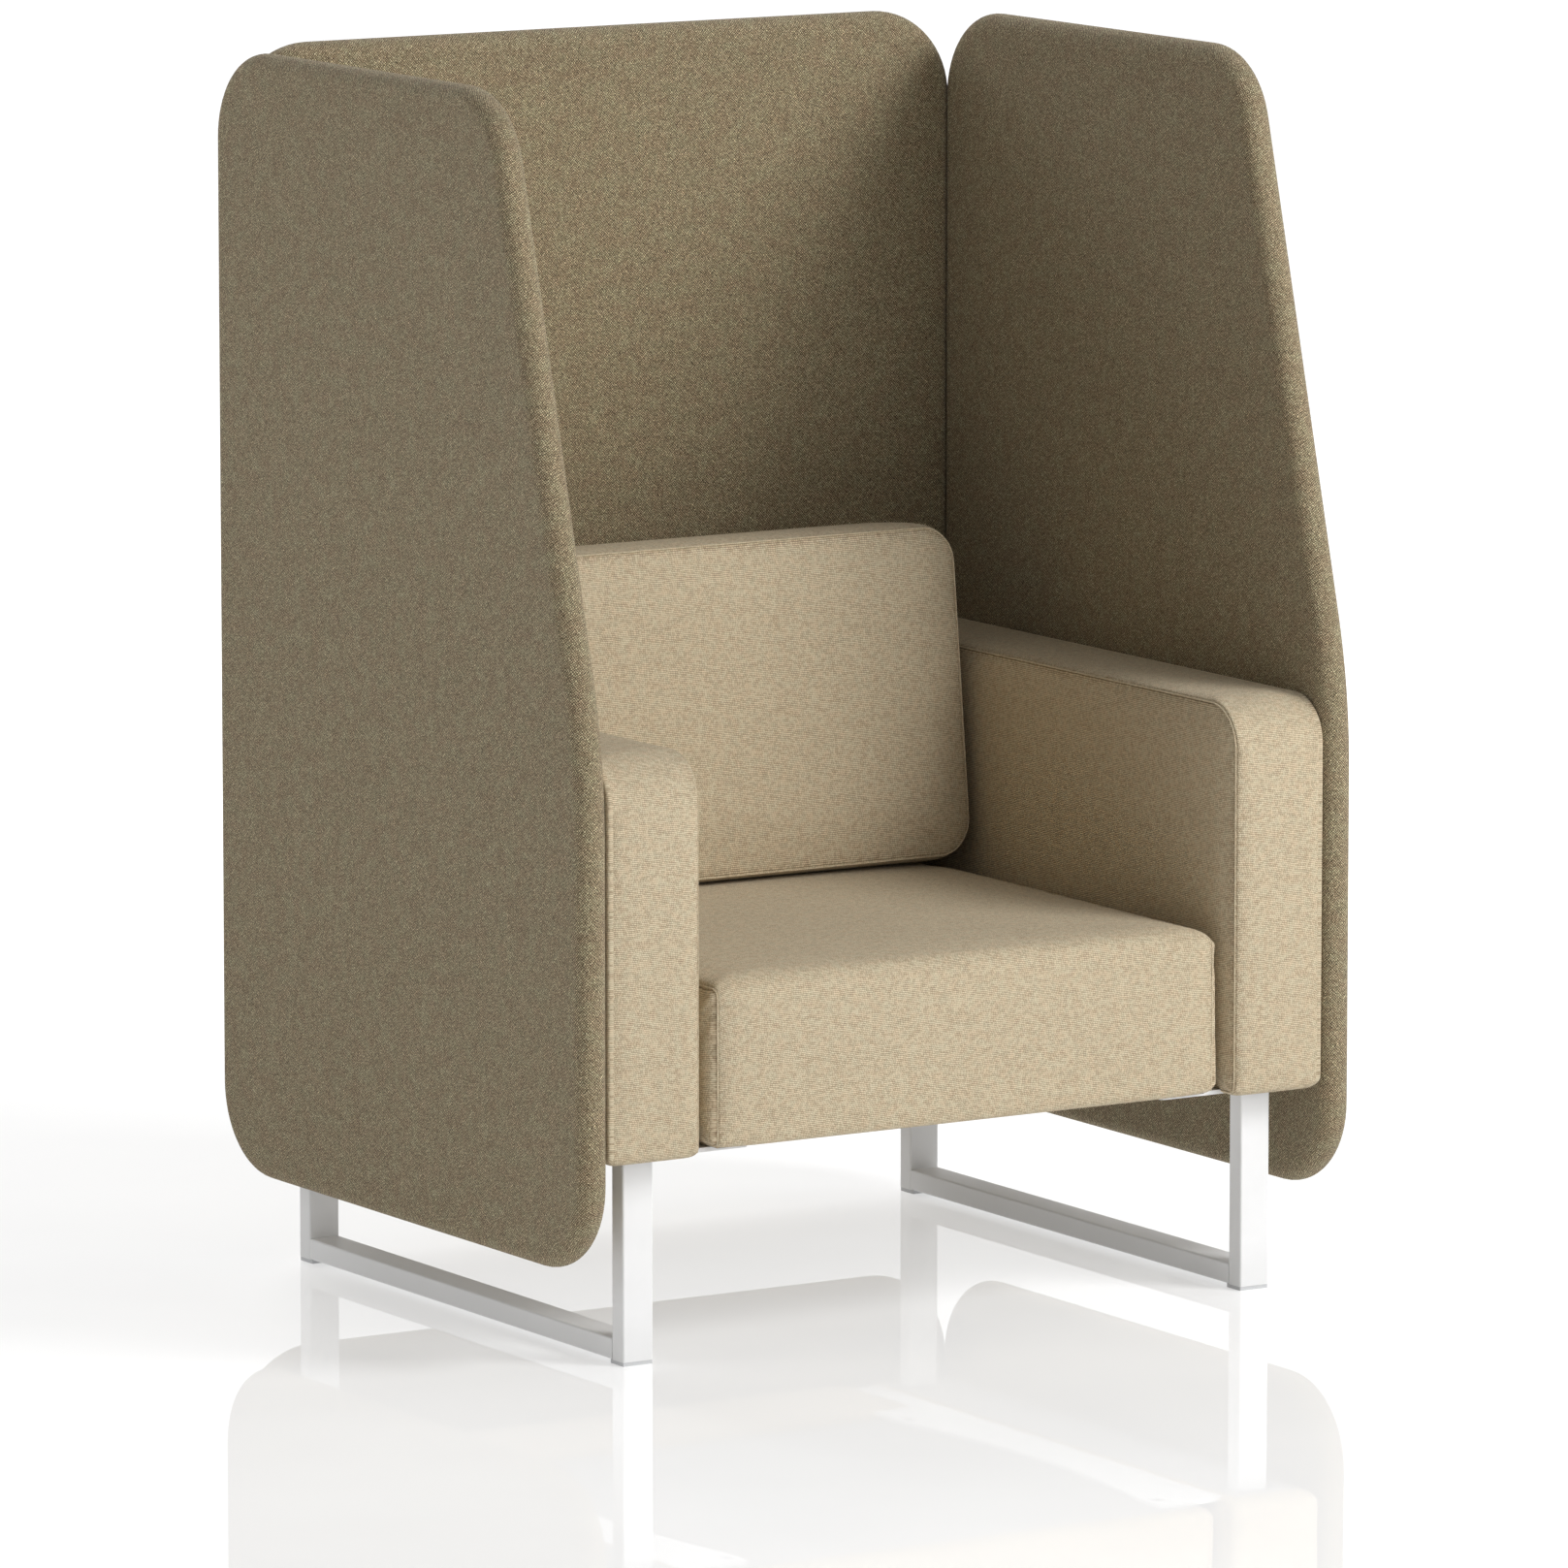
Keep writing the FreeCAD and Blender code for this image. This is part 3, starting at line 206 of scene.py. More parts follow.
# %% Slab helper
def slab(loop, steps, profile, place, seams=None, crowns=(0, 0), rings=None):
    """A closed slab as points, quads, a flat weave position for each quad corner, and its rings.

    Ring k is the loop less inset k times its normals, at depth k, unless the rings are given. The two faces
    are border patches that bulge by crown * (1 - (2u - 1)^4)(1 - (2v - 1)^4). The weave follows the band
    between the two seam rings, as (distance across, length along), and the flat faces outside them. Without
    seams it follows the first face and rolls on over the edge.
    """
    line, normals, lengths = loop
    depth, inset = np.array(profile, float).T
    count = len(line)
    rings = line - inset[:, None, None] * normals if rings is None else rings
    numbers = np.arange(len(depth) * count).reshape(len(depth), count)
    walked = np.append(0, np.cumsum(np.hypot(np.diff(depth), np.diff(inset))))
    flat, depths, quads, weave = [rings.reshape(-1, 2)], [np.repeat(depth, count)], [], []

    closed = np.hstack([numbers, numbers[:, :1]])
    quads.append(cell_corners(closed).reshape(-1, 4))
    along = np.broadcast_to(lengths, closed.shape)
    band = np.stack([np.broadcast_to(walked[:, None], closed.shape), along], axis=-1)
    plane = np.concatenate([rings, rings[:, :1]], axis=1)
    if seams is None:
        rolled = rings[:1] + normals * walked[:, None, None]
        ring_weave = [np.concatenate([rolled, rolled[:, :1]], axis=1)] * (len(depth) - 1)
    else:
        ring_weave = [band if seams[0] <= k < seams[1] else plane for k in range(len(depth) - 1)]
    for k, spread in enumerate(ring_weave):
        weave.append(cell_corners(spread[k:k + 2])[0])

    made = len(depth) * count
    for ring, sense, crown in ((0, -1, crowns[0]), (len(depth) - 1, 1, crowns[1])):
        grid, sides, bulge = border_patch(rings[ring], steps)
        inner = grid[1:-1, 1:-1].shape[:2]
        numbers_here = sides + ring * count
        numbers_here[1:-1, 1:-1] = made + np.arange(inner[0] * inner[1]).reshape(inner)
        made += inner[0] * inner[1]
        flat.append(grid[1:-1, 1:-1].reshape(-1, 2))
        depths.append(depth[ring] + sense * crown * bulge[1:-1, 1:-1].ravel())
        quads.append(cell_corners(numbers_here).reshape(-1, 4)[:, ::sense])
        weave.append(cell_corners(grid).reshape(-1, 4, 2)[:, ::sense])

    flat, depths = np.concatenate(flat), np.concatenate(depths)
    points = place(flat[:, 0], flat[:, 1], depths) * MM
    return turned_out({"points": points, "quads": np.concatenate(quads), "weave": np.concatenate(weave) * MM,
                       "rings": numbers})


trial = slab(trial_loop, (8, 4), [(0, 10), (10, 0), (30, 0), (40, 10)],
             lambda a, b, depth: np.stack([a, b, depth], axis=-1))
print("a slab of four rings has", len(trial["points"]), "points and", len(trial["quads"]), "quads")

# %% Box helper
LEAST_RADIUS = 1.5
FOOT_INSET_SHARE = 0.25


def box_rings(low, high, radii, steps, profile, foot_round, side_share=1):
    """Rings of an upright box: at inset i the outline has its sides i further in and its corners i tighter.
    At the front and the rear only side_share of the inset is used.

    The underside is rounded off towards both ends instead, as a circle of radius r at a distance e from the
    end: r - sqrt(r^2 - (r - e)^2), and a small share of the inset is added.
    """
    depth, inset = np.array(profile, float).T
    from_end = np.clip(np.minimum(depth - depth.min(), depth.max() - depth), 0, foot_round)
    lift = foot_round - np.sqrt(foot_round ** 2 - (foot_round - from_end) ** 2) + FOOT_INSET_SHARE * inset
    rings = []
    for i, up in zip(inset, lift):
        corners = rectangle((low[0] + side_share * i, low[1] + up), (high[0] - side_share * i, high[1] - i))
        tighter = np.maximum(np.array(radii) - (up, up, i, i), LEAST_RADIUS)
        rings.append(rounded_loop(corners, tighter, steps)[0])
    return np.stack(rings)


print("corners of a box keep a radius of at least", LEAST_RADIUS, "mm")

# %% [markdown]
# ## From arrays to a Blender object
# Arrays go into a mesh in one call each. The flat weave positions become a UV map in metres, so a fabric
# pattern follows the cloth over an edge at its true size.

# %% Mesh helpers
def new_object(name, points, faces):
    """A mesh object in the scene."""
    mesh = bpy.data.meshes.new(name)
    mesh.from_pydata(points, [], faces)
    made = bpy.data.objects.new(name, mesh)
    scene.collection.objects.link(made)
    return made


def make_piece(name, form, slot):
    """A smooth-shaded mesh object from points, quads and weave positions, riding on the one body."""
    piece = new_object(name, form["points"].tolist(), form["quads"].tolist())
    mesh = piece.data
    mesh.uv_layers.new(name="weave").data.foreach_set("uv", form["weave"].astype(np.float32).ravel())
    mesh.polygons.foreach_set("use_smooth", np.ones(len(form["quads"]), bool))
    if "near_seam" in form:
        near = mesh.attributes.new("near_seam", "FLOAT", "POINT")
        near.data.foreach_set("value", form["near_seam"].astype(np.float32))
    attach(piece, "root")
    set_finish(piece, slot)
    print(name, "has", len(form["quads"]), "faces")
    return piece


def subdivide(piece):
    """One level of subdivision, the same in the view as in the render."""
    finer = piece.modifiers.new("finer", "SUBSURF")
    finer.levels = finer.render_levels = 1


def mirrored(form):
    """The form with x turned to -x and its faces wound the other way, so that they still point outwards."""
    return dict(form, points=form["points"] * (-1, 1, 1), quads=form["quads"][:, ::-1],
                weave=form["weave"][:, ::-1])


def outward_normals(form):
    """The sum of the cross products of each quad's diagonals, gathered at its corners and made unit."""
    corner = form["points"][form["quads"]]
    face = np.cross(corner[:, 2] - corner[:, 0], corner[:, 3] - corner[:, 1])
    total = np.zeros_like(form["points"])
    for k in range(4):
        np.add.at(total, form["quads"][:, k], face)
    return unit(total)


outward = outward_normals(trial) * (trial["points"] - trial["points"].mean(axis=0))
print("all normals of the slab point outwards:", (outward.sum(axis=1) > 0).all())

# %% [markdown]
# ## Swelling with cloth
# A real cushion is a flat-cut cover, sewn at its seams and pushed out by its filling. Sculpting that bulge
# by formula looks even and lifeless, so the cover is handed to Blender's cloth for twenty frames with air
# pressure inside, held fast along its seams. Pressure would blow it up like a balloon. Each point's move is
# therefore bent towards a limit, and the result is written back into plain arrays.

# %% Cloth helper
PRESSURE = 4
CLOTH_FRAMES = 20
LEAST_MOVE = 1e-9


def swell(form, held, limit):
    """The form with each point moved by the cloth: direction * limit * tanh(length / limit)."""
    cover = new_object("swelling", form["points"].tolist(), form["quads"].tolist())
    mesh = cover.data
    group = cover.vertex_groups.new(name="held")
    group.add(np.flatnonzero(held).tolist(), 1, "REPLACE")
    cloth = cover.modifiers.new("cloth", "CLOTH")
    cloth.settings.use_pressure = True
    cloth.settings.uniform_pressure_force = PRESSURE
    cloth.settings.effector_weights.gravity = 0
    cloth.settings.vertex_group_mass = group.name
    cloth.point_cache.frame_start, cloth.point_cache.frame_end = 1, CLOTH_FRAMES
    for number in range(1, CLOTH_FRAMES + 1):
        scene.frame_set(number)
    swollen = cover.evaluated_get(bpy.context.evaluated_depsgraph_get()).data
    places = np.empty(len(form["points"]) * 3, np.float32)
    swollen.vertices.foreach_get("co", places)
    bpy.data.objects.remove(cover)
    bpy.data.meshes.remove(mesh)
    scene.frame_set(1)
    move = places.reshape(-1, 3) - form["points"]
    length = np.linalg.norm(move, axis=1)
    bent = limit * np.tanh(length / limit) / np.maximum(length, LEAST_MOVE)
    print("the cloth moved by up to", round(float(length.max() / MM), 1), "mm, kept to", limit.max() / MM)
    return dict(form, points=form["points"] + move * np.where(held, 0, bent)[:, None])


print("covers swell for", CLOTH_FRAMES, "frames at a pressure of", PRESSURE)

# %% [markdown]
# ## Puckers and seam cords
# Where two panels are sewn together the cloth gathers in small, uneven puckers, and the turned-in edges
# make a thin raised line. The puckers are a wave along the seam that dies away within some centimetres.
# The raised line is a thin tube carried along the seam. Right beside the seam the cloth's colour is also
# painted darker, as shade in the groove.

# %% Seam helpers
PUCKER_HEIGHT = 0.45 * MM
PUCKER_REACH = 16 * MM
PUCKER_LENGTH = 27 * MM
PUCKER_DRIFTS = ((2.1, 0.37), (1.3, 0.113))
ON_SEAM = 1e-6
SEAM_SHADE_REACH = 3.5 * MM
CORD_SIDES = 8
CORD_RADIUS = 1.1 * MM
CORD_PROUD = 0.1 * MM


def pucker(form, seams):
    """The form moved along its normals by height * exp(-(d / reach)^2) * sin(p + drift), where d is the
    distance to the nearest seam, p = 2 pi * (length along it) / (pucker length), and the drift, a sum of
    size * sin(rate * p), makes the puckers uneven. Keeps exp(-d / shade reach) as the strength of the
    painted shade that darkens the cloth's colour in the seam groove."""
    path = np.concatenate([form["points"][form["rings"][seam]] for seam in seams])
    walked = np.cumsum(np.linalg.norm(np.diff(path, axis=0, prepend=path[:1]), axis=1))
    points = form["points"]
    square = (points ** 2).sum(1)[:, None] + (path ** 2).sum(1) - 2 * points @ path.T
    nearest = square.argmin(axis=1)
    gap = np.sqrt(np.maximum(square[np.arange(len(points)), nearest], 0))
    along = walked[nearest] / PUCKER_LENGTH * 2 * np.pi
    wave = np.sin(along + sum(size * np.sin(rate * along) for size, rate in PUCKER_DRIFTS))
    height = PUCKER_HEIGHT * np.exp(-(gap / PUCKER_REACH) ** 2) * wave * (gap > ON_SEAM)
    return dict(form, points=points + outward_normals(form) * height[:, None],
                near_seam=np.exp(-gap / SEAM_SHADE_REACH))


def joined(forms):
    """Several forms as one, with the vertex numbers of each moved past those before it."""
    offsets = np.cumsum([0] + [len(form["points"]) for form in forms])
    return {"points": np.concatenate([form["points"] for form in forms]),
            "quads": np.concatenate([form["quads"] + offset for form, offset in zip(forms, offsets)]),
            "weave": np.concatenate([form["weave"] for form in forms])}


def seam_cords(form, seams, radius=CORD_RADIUS, proud=CORD_PROUD):
    """Closed tubes along seam rings: path + proud * out + radius * (cos t * out + sin t * side)."""
    normals = outward_normals(form)
    angle = np.linspace(0, 2 * np.pi, CORD_SIDES + 1)
    tubes = []
    for seam in seams:
        ring = form["rings"][seam]
        path = form["points"][ring]
        tangent = unit(np.roll(path, -1, axis=0) - np.roll(path, 1, axis=0))
        side = unit(np.cross(tangent, normals[ring]))
        out = np.cross(side, tangent)
        around = np.cos(angle)[:-1, None, None] * out + np.sin(angle)[:-1, None, None] * side
        points = path + proud * out + radius * around
        numbers = np.arange(points.shape[0] * points.shape[1]).reshape(points.shape[:2])
        numbers = np.pad(numbers, ((0, 1), (0, 1)), "wrap")
        walked = np.append(0, np.cumsum(np.linalg.norm(np.roll(path, -1, axis=0) - path, axis=1)))
        spread = np.stack(np.broadcast_arrays(walked, radius * angle[:, None]), axis=-1)
        tubes.append({"points": points.reshape(-1, 3), "quads": cell_corners(numbers).reshape(-1, 4),
                      "weave": cell_corners(spread).reshape(-1, 4, 2)})
    return turned_out(joined(tubes))


def on_rings(form, rings):
    """Which points of the form lie on the given rings."""
    mark = np.zeros(len(form["points"]), bool)
    mark[form["rings"][rings].ravel()] = True
    return mark


print("puckers of", PUCKER_LENGTH / MM, "mm fade out over", PUCKER_REACH / MM, "mm beside a seam")

# %% [markdown]
# ## Screens
# Each screen is a flat board in thin foam, with one woven cover pulled tight round it, so its edges are
# fully round and its faces flat. The side screens stand upright to arm height and then lean back.
# Tight covers over a board don't swell, so these need no cloth, only the rounded outline and a half-round
# edge profile.

# %% Screen helpers
SCREEN_CORNER = 105
SCREEN_LEAN_START = 705.5
SCREEN_LEAN = np.radians(15)
SCREEN_LEAN_BLEND = 700
SCREEN_EDGE = 18.5
EDGE_STEPS = 9
SIDE_SCREEN_STEPS = (54, 84)
BACK_SCREEN_STEPS = (64, 84)


def limits(node):
    """The lowest and highest corner of a node of the solid model, in millimetres."""
    return tuple(np.array(corner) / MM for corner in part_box(node))


def across_x(a, b, depth):
    """Sideways slabs: the outline lies in y and z, the depth runs along x."""
    return np.stack([depth, a, b], axis=-1)


def across_y(a, b, depth):
    """Slabs that face the front: the outline lies in x and z, the depth runs along y."""
    return np.stack([a, depth, b], axis=-1)


def half_round(start, end):
    """Depth and inset of a round edge: start + e (1 - cos t), e (1 - sin t), then mirrored."""
    turn = np.linspace(0, np.pi / 2, EDGE_STEPS + 1)
    rise = np.stack([SCREEN_EDGE * (1 - np.cos(turn)), SCREEN_EDGE * (1 - np.sin(turn))], axis=-1)
    fall = rise[::-1] * (-1, 1) + (end - start, 0)
    return np.vstack([rise, fall]) + (start, 0)


def side_screen(node):
    """The slab of a side screen, its outline read from the node's box."""
    low, high = limits(node)
    lean_back = (high[2] - SCREEN_LEAN_START) * np.tan(SCREEN_LEAN)
    corners = [(low[1], low[2]), (high[1], low[2]), (high[1], high[2]), (low[1] + lean_back, high[2]),
               (low[1], SCREEN_LEAN_START)]
    radii = [SCREEN_CORNER] * 4 + [SCREEN_LEAN_BLEND]
    loop = rounded_loop(corners, radii, SIDE_SCREEN_STEPS)
    return slab(loop, SIDE_SCREEN_STEPS, half_round(low[0], high[0]), across_x)


def back_screen(node):
    """The slab of the back screen, a rounded rectangle as large as the node's box."""
    low, high = limits(node)
    corners = rectangle(low[[0, 2]], high[[0, 2]])
    loop = rounded_loop(corners, [SCREEN_CORNER] * 4, BACK_SCREEN_STEPS)
    return slab(loop, BACK_SCREEN_STEPS, half_round(low[1], high[1]), across_y)


print("a screen's edge has", len(half_round(0, 2 * SCREEN_EDGE)), "rings")

# %% Make the screens
for side, outline in (("right", side_screen), ("left", side_screen), ("back", back_screen)):
    form = outline(side + "_screen_cover")
    screen = make_piece(side + "_screen", form, "screen_fabric")
    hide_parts(side + "_screen_cover", side + "_screen_foam")

# %% [markdown]
# ## Arms
# An arm is a box of thin boards in foam. One strip of cloth runs over its front and its top, sewn to a flat
# panel on each side. The inner panel is soft and puffs out beside its seam, while the outer one lies hard
# against the screen. So the cloth is held at both seams and on the outer side, and only the rest swells.

# %% Recess helper
RECESS_RISE = 1.3
RECESS_RAMP = 6
RECESS_LEVEL = 1


def recess(form, low, high):
    """The form with its underside raised inside a rectangle, for the dust cloth: by the rise times a ramp
    in from each of the four borders."""
    x, y, z = form["points"].T / MM
    ramps = np.stack([x - low[0], high[0] - x, y - low[1], high[1] - y]) / RECESS_RAMP
    lift = RECESS_RISE * np.clip(ramps, 0, 1).prod(axis=0) * (z < z.min() + RECESS_LEVEL)
    return dict(form, points=form["points"] + lift[:, None] * (0, 0, MM))


print("the dust cloths lie in recesses", RECESS_RISE, "mm deep")

# %% Make the arms
ARM_CORNERS = (12, 12, 14, 55)
ARM_STEPS = (72, 44)
ARM_PROFILE = [(-2, 30), (-1.8, 20), (-1.4, 13), (-0.8, 9), (0.2, 6.6), (1.6, 5.3), (3.4, 4.6), (3.2, 2.8),
               (3.4, 1.4), (4.8, 0.7), (8, 0.4), (14, 0.2), (24, 0.1), (38, 0), (52, 0), (66, 0), (80, 0),
               (93, 0), (104, 0), (111, 0.1), (114.6, 0.2), (116.5, 0.8), (118.4, 0.2), (120.8, 0.2),
               (122.6, 0.9), (123.6, 2.6), (124, 8)]
ARM_FOOT_ROUND = 15
ARM_HELD_FOOT = 4
ARM_SEAMS = (6, 21)
HELD_MARGIN = 1
ARM_BAND_SWELL = 2 * MM
ARM_PANEL_SWELL = 3 * MM

low, high = limits("right_arm_cover")
loop = rounded_loop(rectangle(low[1:], high[1:]), ARM_CORNERS, ARM_STEPS)
profile = np.array(ARM_PROFILE) + (low[0], 0)
rings = box_rings(low[1:], high[1:], ARM_CORNERS, ARM_STEPS, profile, ARM_FOOT_ROUND)
arm = slab(loop, ARM_STEPS, profile, across_x, seams=ARM_SEAMS, rings=rings)
arm = recess(arm, *limits("right_arm_bottom_cloth"))
held = on_rings(arm, ARM_SEAMS[0])
held |= arm["points"][:, 0] > (profile[ARM_SEAMS[1], 0] - HELD_MARGIN) * MM
held |= arm["points"][:, 2] < (low[2] + ARM_HELD_FOOT) * MM
limit = np.where(on_rings(arm, slice(ARM_SEAMS[0], None)), ARM_BAND_SWELL, ARM_PANEL_SWELL)
arm = pucker(swell(arm, held, limit), ARM_SEAMS[:1])
arm_cords = seam_cords(arm, ARM_SEAMS[:1])
for side, turn in (("right", dict), ("left", mirrored)):
    piece = make_piece(side + "_arm", turn(arm), "seat_fabric")
    subdivide(piece)
    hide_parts(side + "_arm_cover", side + "_arm_foam")
    make_piece(side + "_arm_seams", turn(arm_cords), "seat_fabric")

# %% [markdown]
# ## Seat
# The seat is one thick cushion. A strip runs from its underside over the front and the top, and a panel
# closes each end. The strip falls away towards the two end seams, and its top is slightly crowned, with a
# shallow dent where the back cushion stands on it. Crown and dent are drawn first, and the cloth then fills
# the form out.

# %% Seat helpers
SEAT_CROWN = 6
SEAT_DENT = 3.4
SEAT_DENT_START = 30
SEAT_DENT_REACH = 38


def crowned(form, low, high, cushion_front):
    """The form with its top raised by (crown * (1 - a^2)(1 - b^4) - dent * (3 s^2 - 2 s^3)) * t^2, where a
    and b run from -1 to 1 across the width and the depth, s from 0 to 1 in under the back cushion, whose
    weight dents the seat, and t from 0 at half height to 1 at the top."""
    x, y, z = (2 * (form["points"] / MM - low) / (high - low) - 1).T
    under = (form["points"][:, 1] / MM - cushion_front - SEAT_DENT_START) / SEAT_DENT_REACH
    under = np.clip(under, 0, 1)
    raised = SEAT_CROWN * np.clip(1 - x ** 2, 0, 1) * np.clip(1 - y ** 4, 0, 1)
    raised = (raised - SEAT_DENT * under ** 2 * (3 - 2 * under)) * np.clip(z, 0, 1) ** 2
    return dict(form, points=form["points"] + raised[:, None] * (0, 0, MM))


def end_to_end(end, width, rings, inset):
    """A profile made of an end, rings at one inset evenly over the middle, and the end turned round."""
    end = np.array(end)
    depth = np.linspace(end[-1, 0], width - end[-1, 0], rings + 2)[1:-1]
    middle = np.stack([depth, np.full(rings, inset)], axis=-1)
    return np.vstack([end, middle, end[::-1] * (-1, 1) + (width, 0)])


print("the seat is crowned by", SEAT_CROWN, "mm and dented by", SEAT_DENT, "mm")

# %% Make the seat
SEAT_CORNERS = (9, 10, 26, 24)
SEAT_STEPS = (60, 26)
SEAT_RISE = 5.5
SEAT_END = [(-0.4, 40), (-0.2, 30), (0.6, 22), (2, 17.5), (4.2, 15.2), (6.8, 14.4), (9.4, 13.6), (9, 10.6),
            (10.4, 8.2), (13.5, 6.2), (18, 4.6), (24, 3.2), (34, 1.9), (48, 1), (66, 0.4)]
SEAT_SEAM = 6
SEAT_FOOT_ROUND = 13
SEAT_HELD_FOOT = 8
SEAT_SIDE_SHARE = 0.4
SEAT_MIDDLE_RINGS = 27
SEAT_MIDDLE_INSET = 0.2
SEAT_END_SWELL = 4 * MM
SEAT_BAND_SWELL = 1.5 * MM

low, high = limits("seat_cover")
top = (high[1], high[2] + SEAT_RISE)
loop = rounded_loop(rectangle(low[1:], top), SEAT_CORNERS, SEAT_STEPS)
profile = end_to_end(SEAT_END, high[0] - low[0], SEAT_MIDDLE_RINGS, SEAT_MIDDLE_INSET) + (low[0], 0)
seat_seams = (SEAT_SEAM, len(profile) - 1 - SEAT_SEAM)
rings = box_rings(low[1:], top, SEAT_CORNERS, SEAT_STEPS, profile, SEAT_FOOT_ROUND, SEAT_SIDE_SHARE)
seat = slab(loop, SEAT_STEPS, profile, across_x, seams=seat_seams, rings=rings)
seat = recess(seat, *limits("seat_bottom_cloth"))
seat = crowned(seat, low, high, limits("back_cushion_cover")[0][1])
held = on_rings(seat, list(seat_seams))
held |= seat["points"][:, 2] < (low[2] + SEAT_HELD_FOOT) * MM
limit = np.where(on_rings(seat, slice(seat_seams[0], seat_seams[1] + 1)), SEAT_BAND_SWELL, SEAT_END_SWELL)
seat = pucker(swell(seat, held, limit), seat_seams)
seat_cords = seam_cords(seat, seat_seams)
piece = make_piece("seat", seat, "seat_fabric")
subdivide(piece)
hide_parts("seat_cover", "seat_foam")
make_piece("seat_seams", seat_cords, "seat_fabric")

# %% [markdown]
# ## Back cushion
# The back cushion is a boxed cushion: a front and a rear panel with round corners, joined by a band all
# round, and a fine raised seam where they meet. It leans back against the box behind it. The front panel is
# crowned and swells most.

# %% Make the back cushion
BACK_LEAN = np.radians(6.5)
CUSHION_FOOT = (245.9, 437.3)
CUSHION_HEIGHT = 405
CUSHION_CORNER = 50
CUSHION_STEPS = (64, 38)
CUSHION_PROFILE = [(1, 18), (1.4, 10), (3.4, 5.4), (7, 3.4), (12, 2.6), (24, 2), (42, 1.7), (62, 1.6),
                   (82, 1.6), (102, 1.7), (116, 1.8), (127, 2.4), (134, 4), (139, 6), (142, 8.4),
                   (144.6, 10.8), (147.4, 14.6), (149.6, 21), (151.2, 30), (152.4, 43)]
CUSHION_SEAMS = (3, 14)
CUSHION_CROWN = 5
CUSHION_FACE_SWELL = 4.5 * MM
CUSHION_BAND_SWELL = 1.8 * MM
CUSHION_SAG = 3.5
CUSHION_SAG_REACH = 90
CUSHION_CORD_RADIUS = 1.2 * MM
CUSHION_CORD_PROUD = 0.4 * MM


def leaning(a, b, depth):
    """x = a, y = foot + b sin(lean) - depth cos(lean), z = foot + b cos(lean) + depth sin(lean), where the
    front of the lower edge sags on to the seat: b - sag * (depth / thickness) * (1 - b / reach)^2."""
    near_foot = np.clip(1 - b / CUSHION_SAG_REACH, 0, 1) ** 2
    b = b - CUSHION_SAG * depth / CUSHION_PROFILE[-1][0] * near_foot
    y = CUSHION_FOOT[0] + b * np.sin(BACK_LEAN) - depth * np.cos(BACK_LEAN)
    z = CUSHION_FOOT[1] + b * np.cos(BACK_LEAN) + depth * np.sin(BACK_LEAN)
    return np.stack([a, y, z], axis=-1)


low, high = limits("back_cushion_cover")
corners = rectangle((low[0], 0), (high[0], CUSHION_HEIGHT))
loop = rounded_loop(corners, [CUSHION_CORNER] * 4, CUSHION_STEPS)
cushion = slab(loop, CUSHION_STEPS, CUSHION_PROFILE, leaning, seams=CUSHION_SEAMS,
               crowns=(0, CUSHION_CROWN))
band_count = cushion["rings"].size
face_count = (len(cushion["points"]) - band_count) // 2
held = on_rings(cushion, list(CUSHION_SEAMS)) | on_rings(cushion, slice(CUSHION_SEAMS[0]))
held[band_count:band_count + face_count] = True
limit = np.where(on_rings(cushion, slice(CUSHION_SEAMS[1] + 1)), CUSHION_BAND_SWELL, CUSHION_FACE_SWELL)
cushion = pucker(swell(cushion, held, limit), CUSHION_SEAMS)
cushion_cords = seam_cords(cushion, CUSHION_SEAMS, CUSHION_CORD_RADIUS, CUSHION_CORD_PROUD)
piece = make_piece("back_cushion", cushion, "seat_fabric")
subdivide(piece)
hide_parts("back_cushion_cover", "back_cushion_foam")
make_piece("back_cushion_seams", cushion_cords, "seat_fabric")

# %% [markdown]
# ## Back box
# Behind the cushion stands a narrow upholstered box that carries it. Little of it shows, so its cover is
# drawn tight, with a rolled edge and a seam at each end, and isn't swollen.

# %% Make the back box
BACK_CORNERS = (12, 12, 14, 14)
BACK_STEPS = (20, 44)
BACK_END = [(0.6, 11), (1, 8.5), (2.6, 5.6), (5.4, 3.4), (9, 1.8), (15, 0.8), (26, 0.4), (60, 0.3)]
BACK_MIDDLE_RINGS = 9
BACK_SEAM = 3

low, high = limits("back_cover")
lean_back = (high[2] - low[2]) * np.tan(BACK_LEAN)
corners = [(low[1], low[2]), (high[1], low[2]), (high[1], high[2]), (low[1] + lean_back, high[2])]
loop = rounded_loop(corners, BACK_CORNERS, BACK_STEPS)
profile = end_to_end(BACK_END, high[0] - low[0], BACK_MIDDLE_RINGS, BACK_END[-1][1]) + (low[0], 0)
back_seams = (BACK_SEAM, len(profile) - 1 - BACK_SEAM)
back_box = pucker(slab(loop, BACK_STEPS, profile, across_x, seams=back_seams), back_seams)
piece = make_piece("back_box", back_box, "seat_fabric")
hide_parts("back_cover", "back_foam")
back_cords = seam_cords(back_box, back_seams)
make_piece("back_box_seams", back_cords, "seat_fabric")

# %% [markdown]
# ## Underneath
# Under the seat and the arms a thin grey cloth is stapled over the open frame, to keep dust in. It is cut
# round the legs. Above it, six webbing straps carry the seat. Each is a flat grid, thickened by Solidify.
# The cloths are stretched flat and the straps dip a little under the weight of the cushion. A cube scaled
# flat would be quicker, but it can't dip, and its weave would be stretched.

# %% Strip helpers
CLOTH_THICKNESS = 0.8 * MM
STRAP_THICKNESS = 2 * MM


def lines_through(start, end, step, stops=()):
    """Grid lines from start to end about a step apart, passing through each stop."""
    marks = np.unique(np.concatenate([[start, end], stops]))
    runs = [np.linspace(a, b, max(2, int(np.ceil((b - a) / step)) + 1)) for a, b in zip(marks, marks[1:])]
    return np.unique(np.concatenate(runs).round(6))


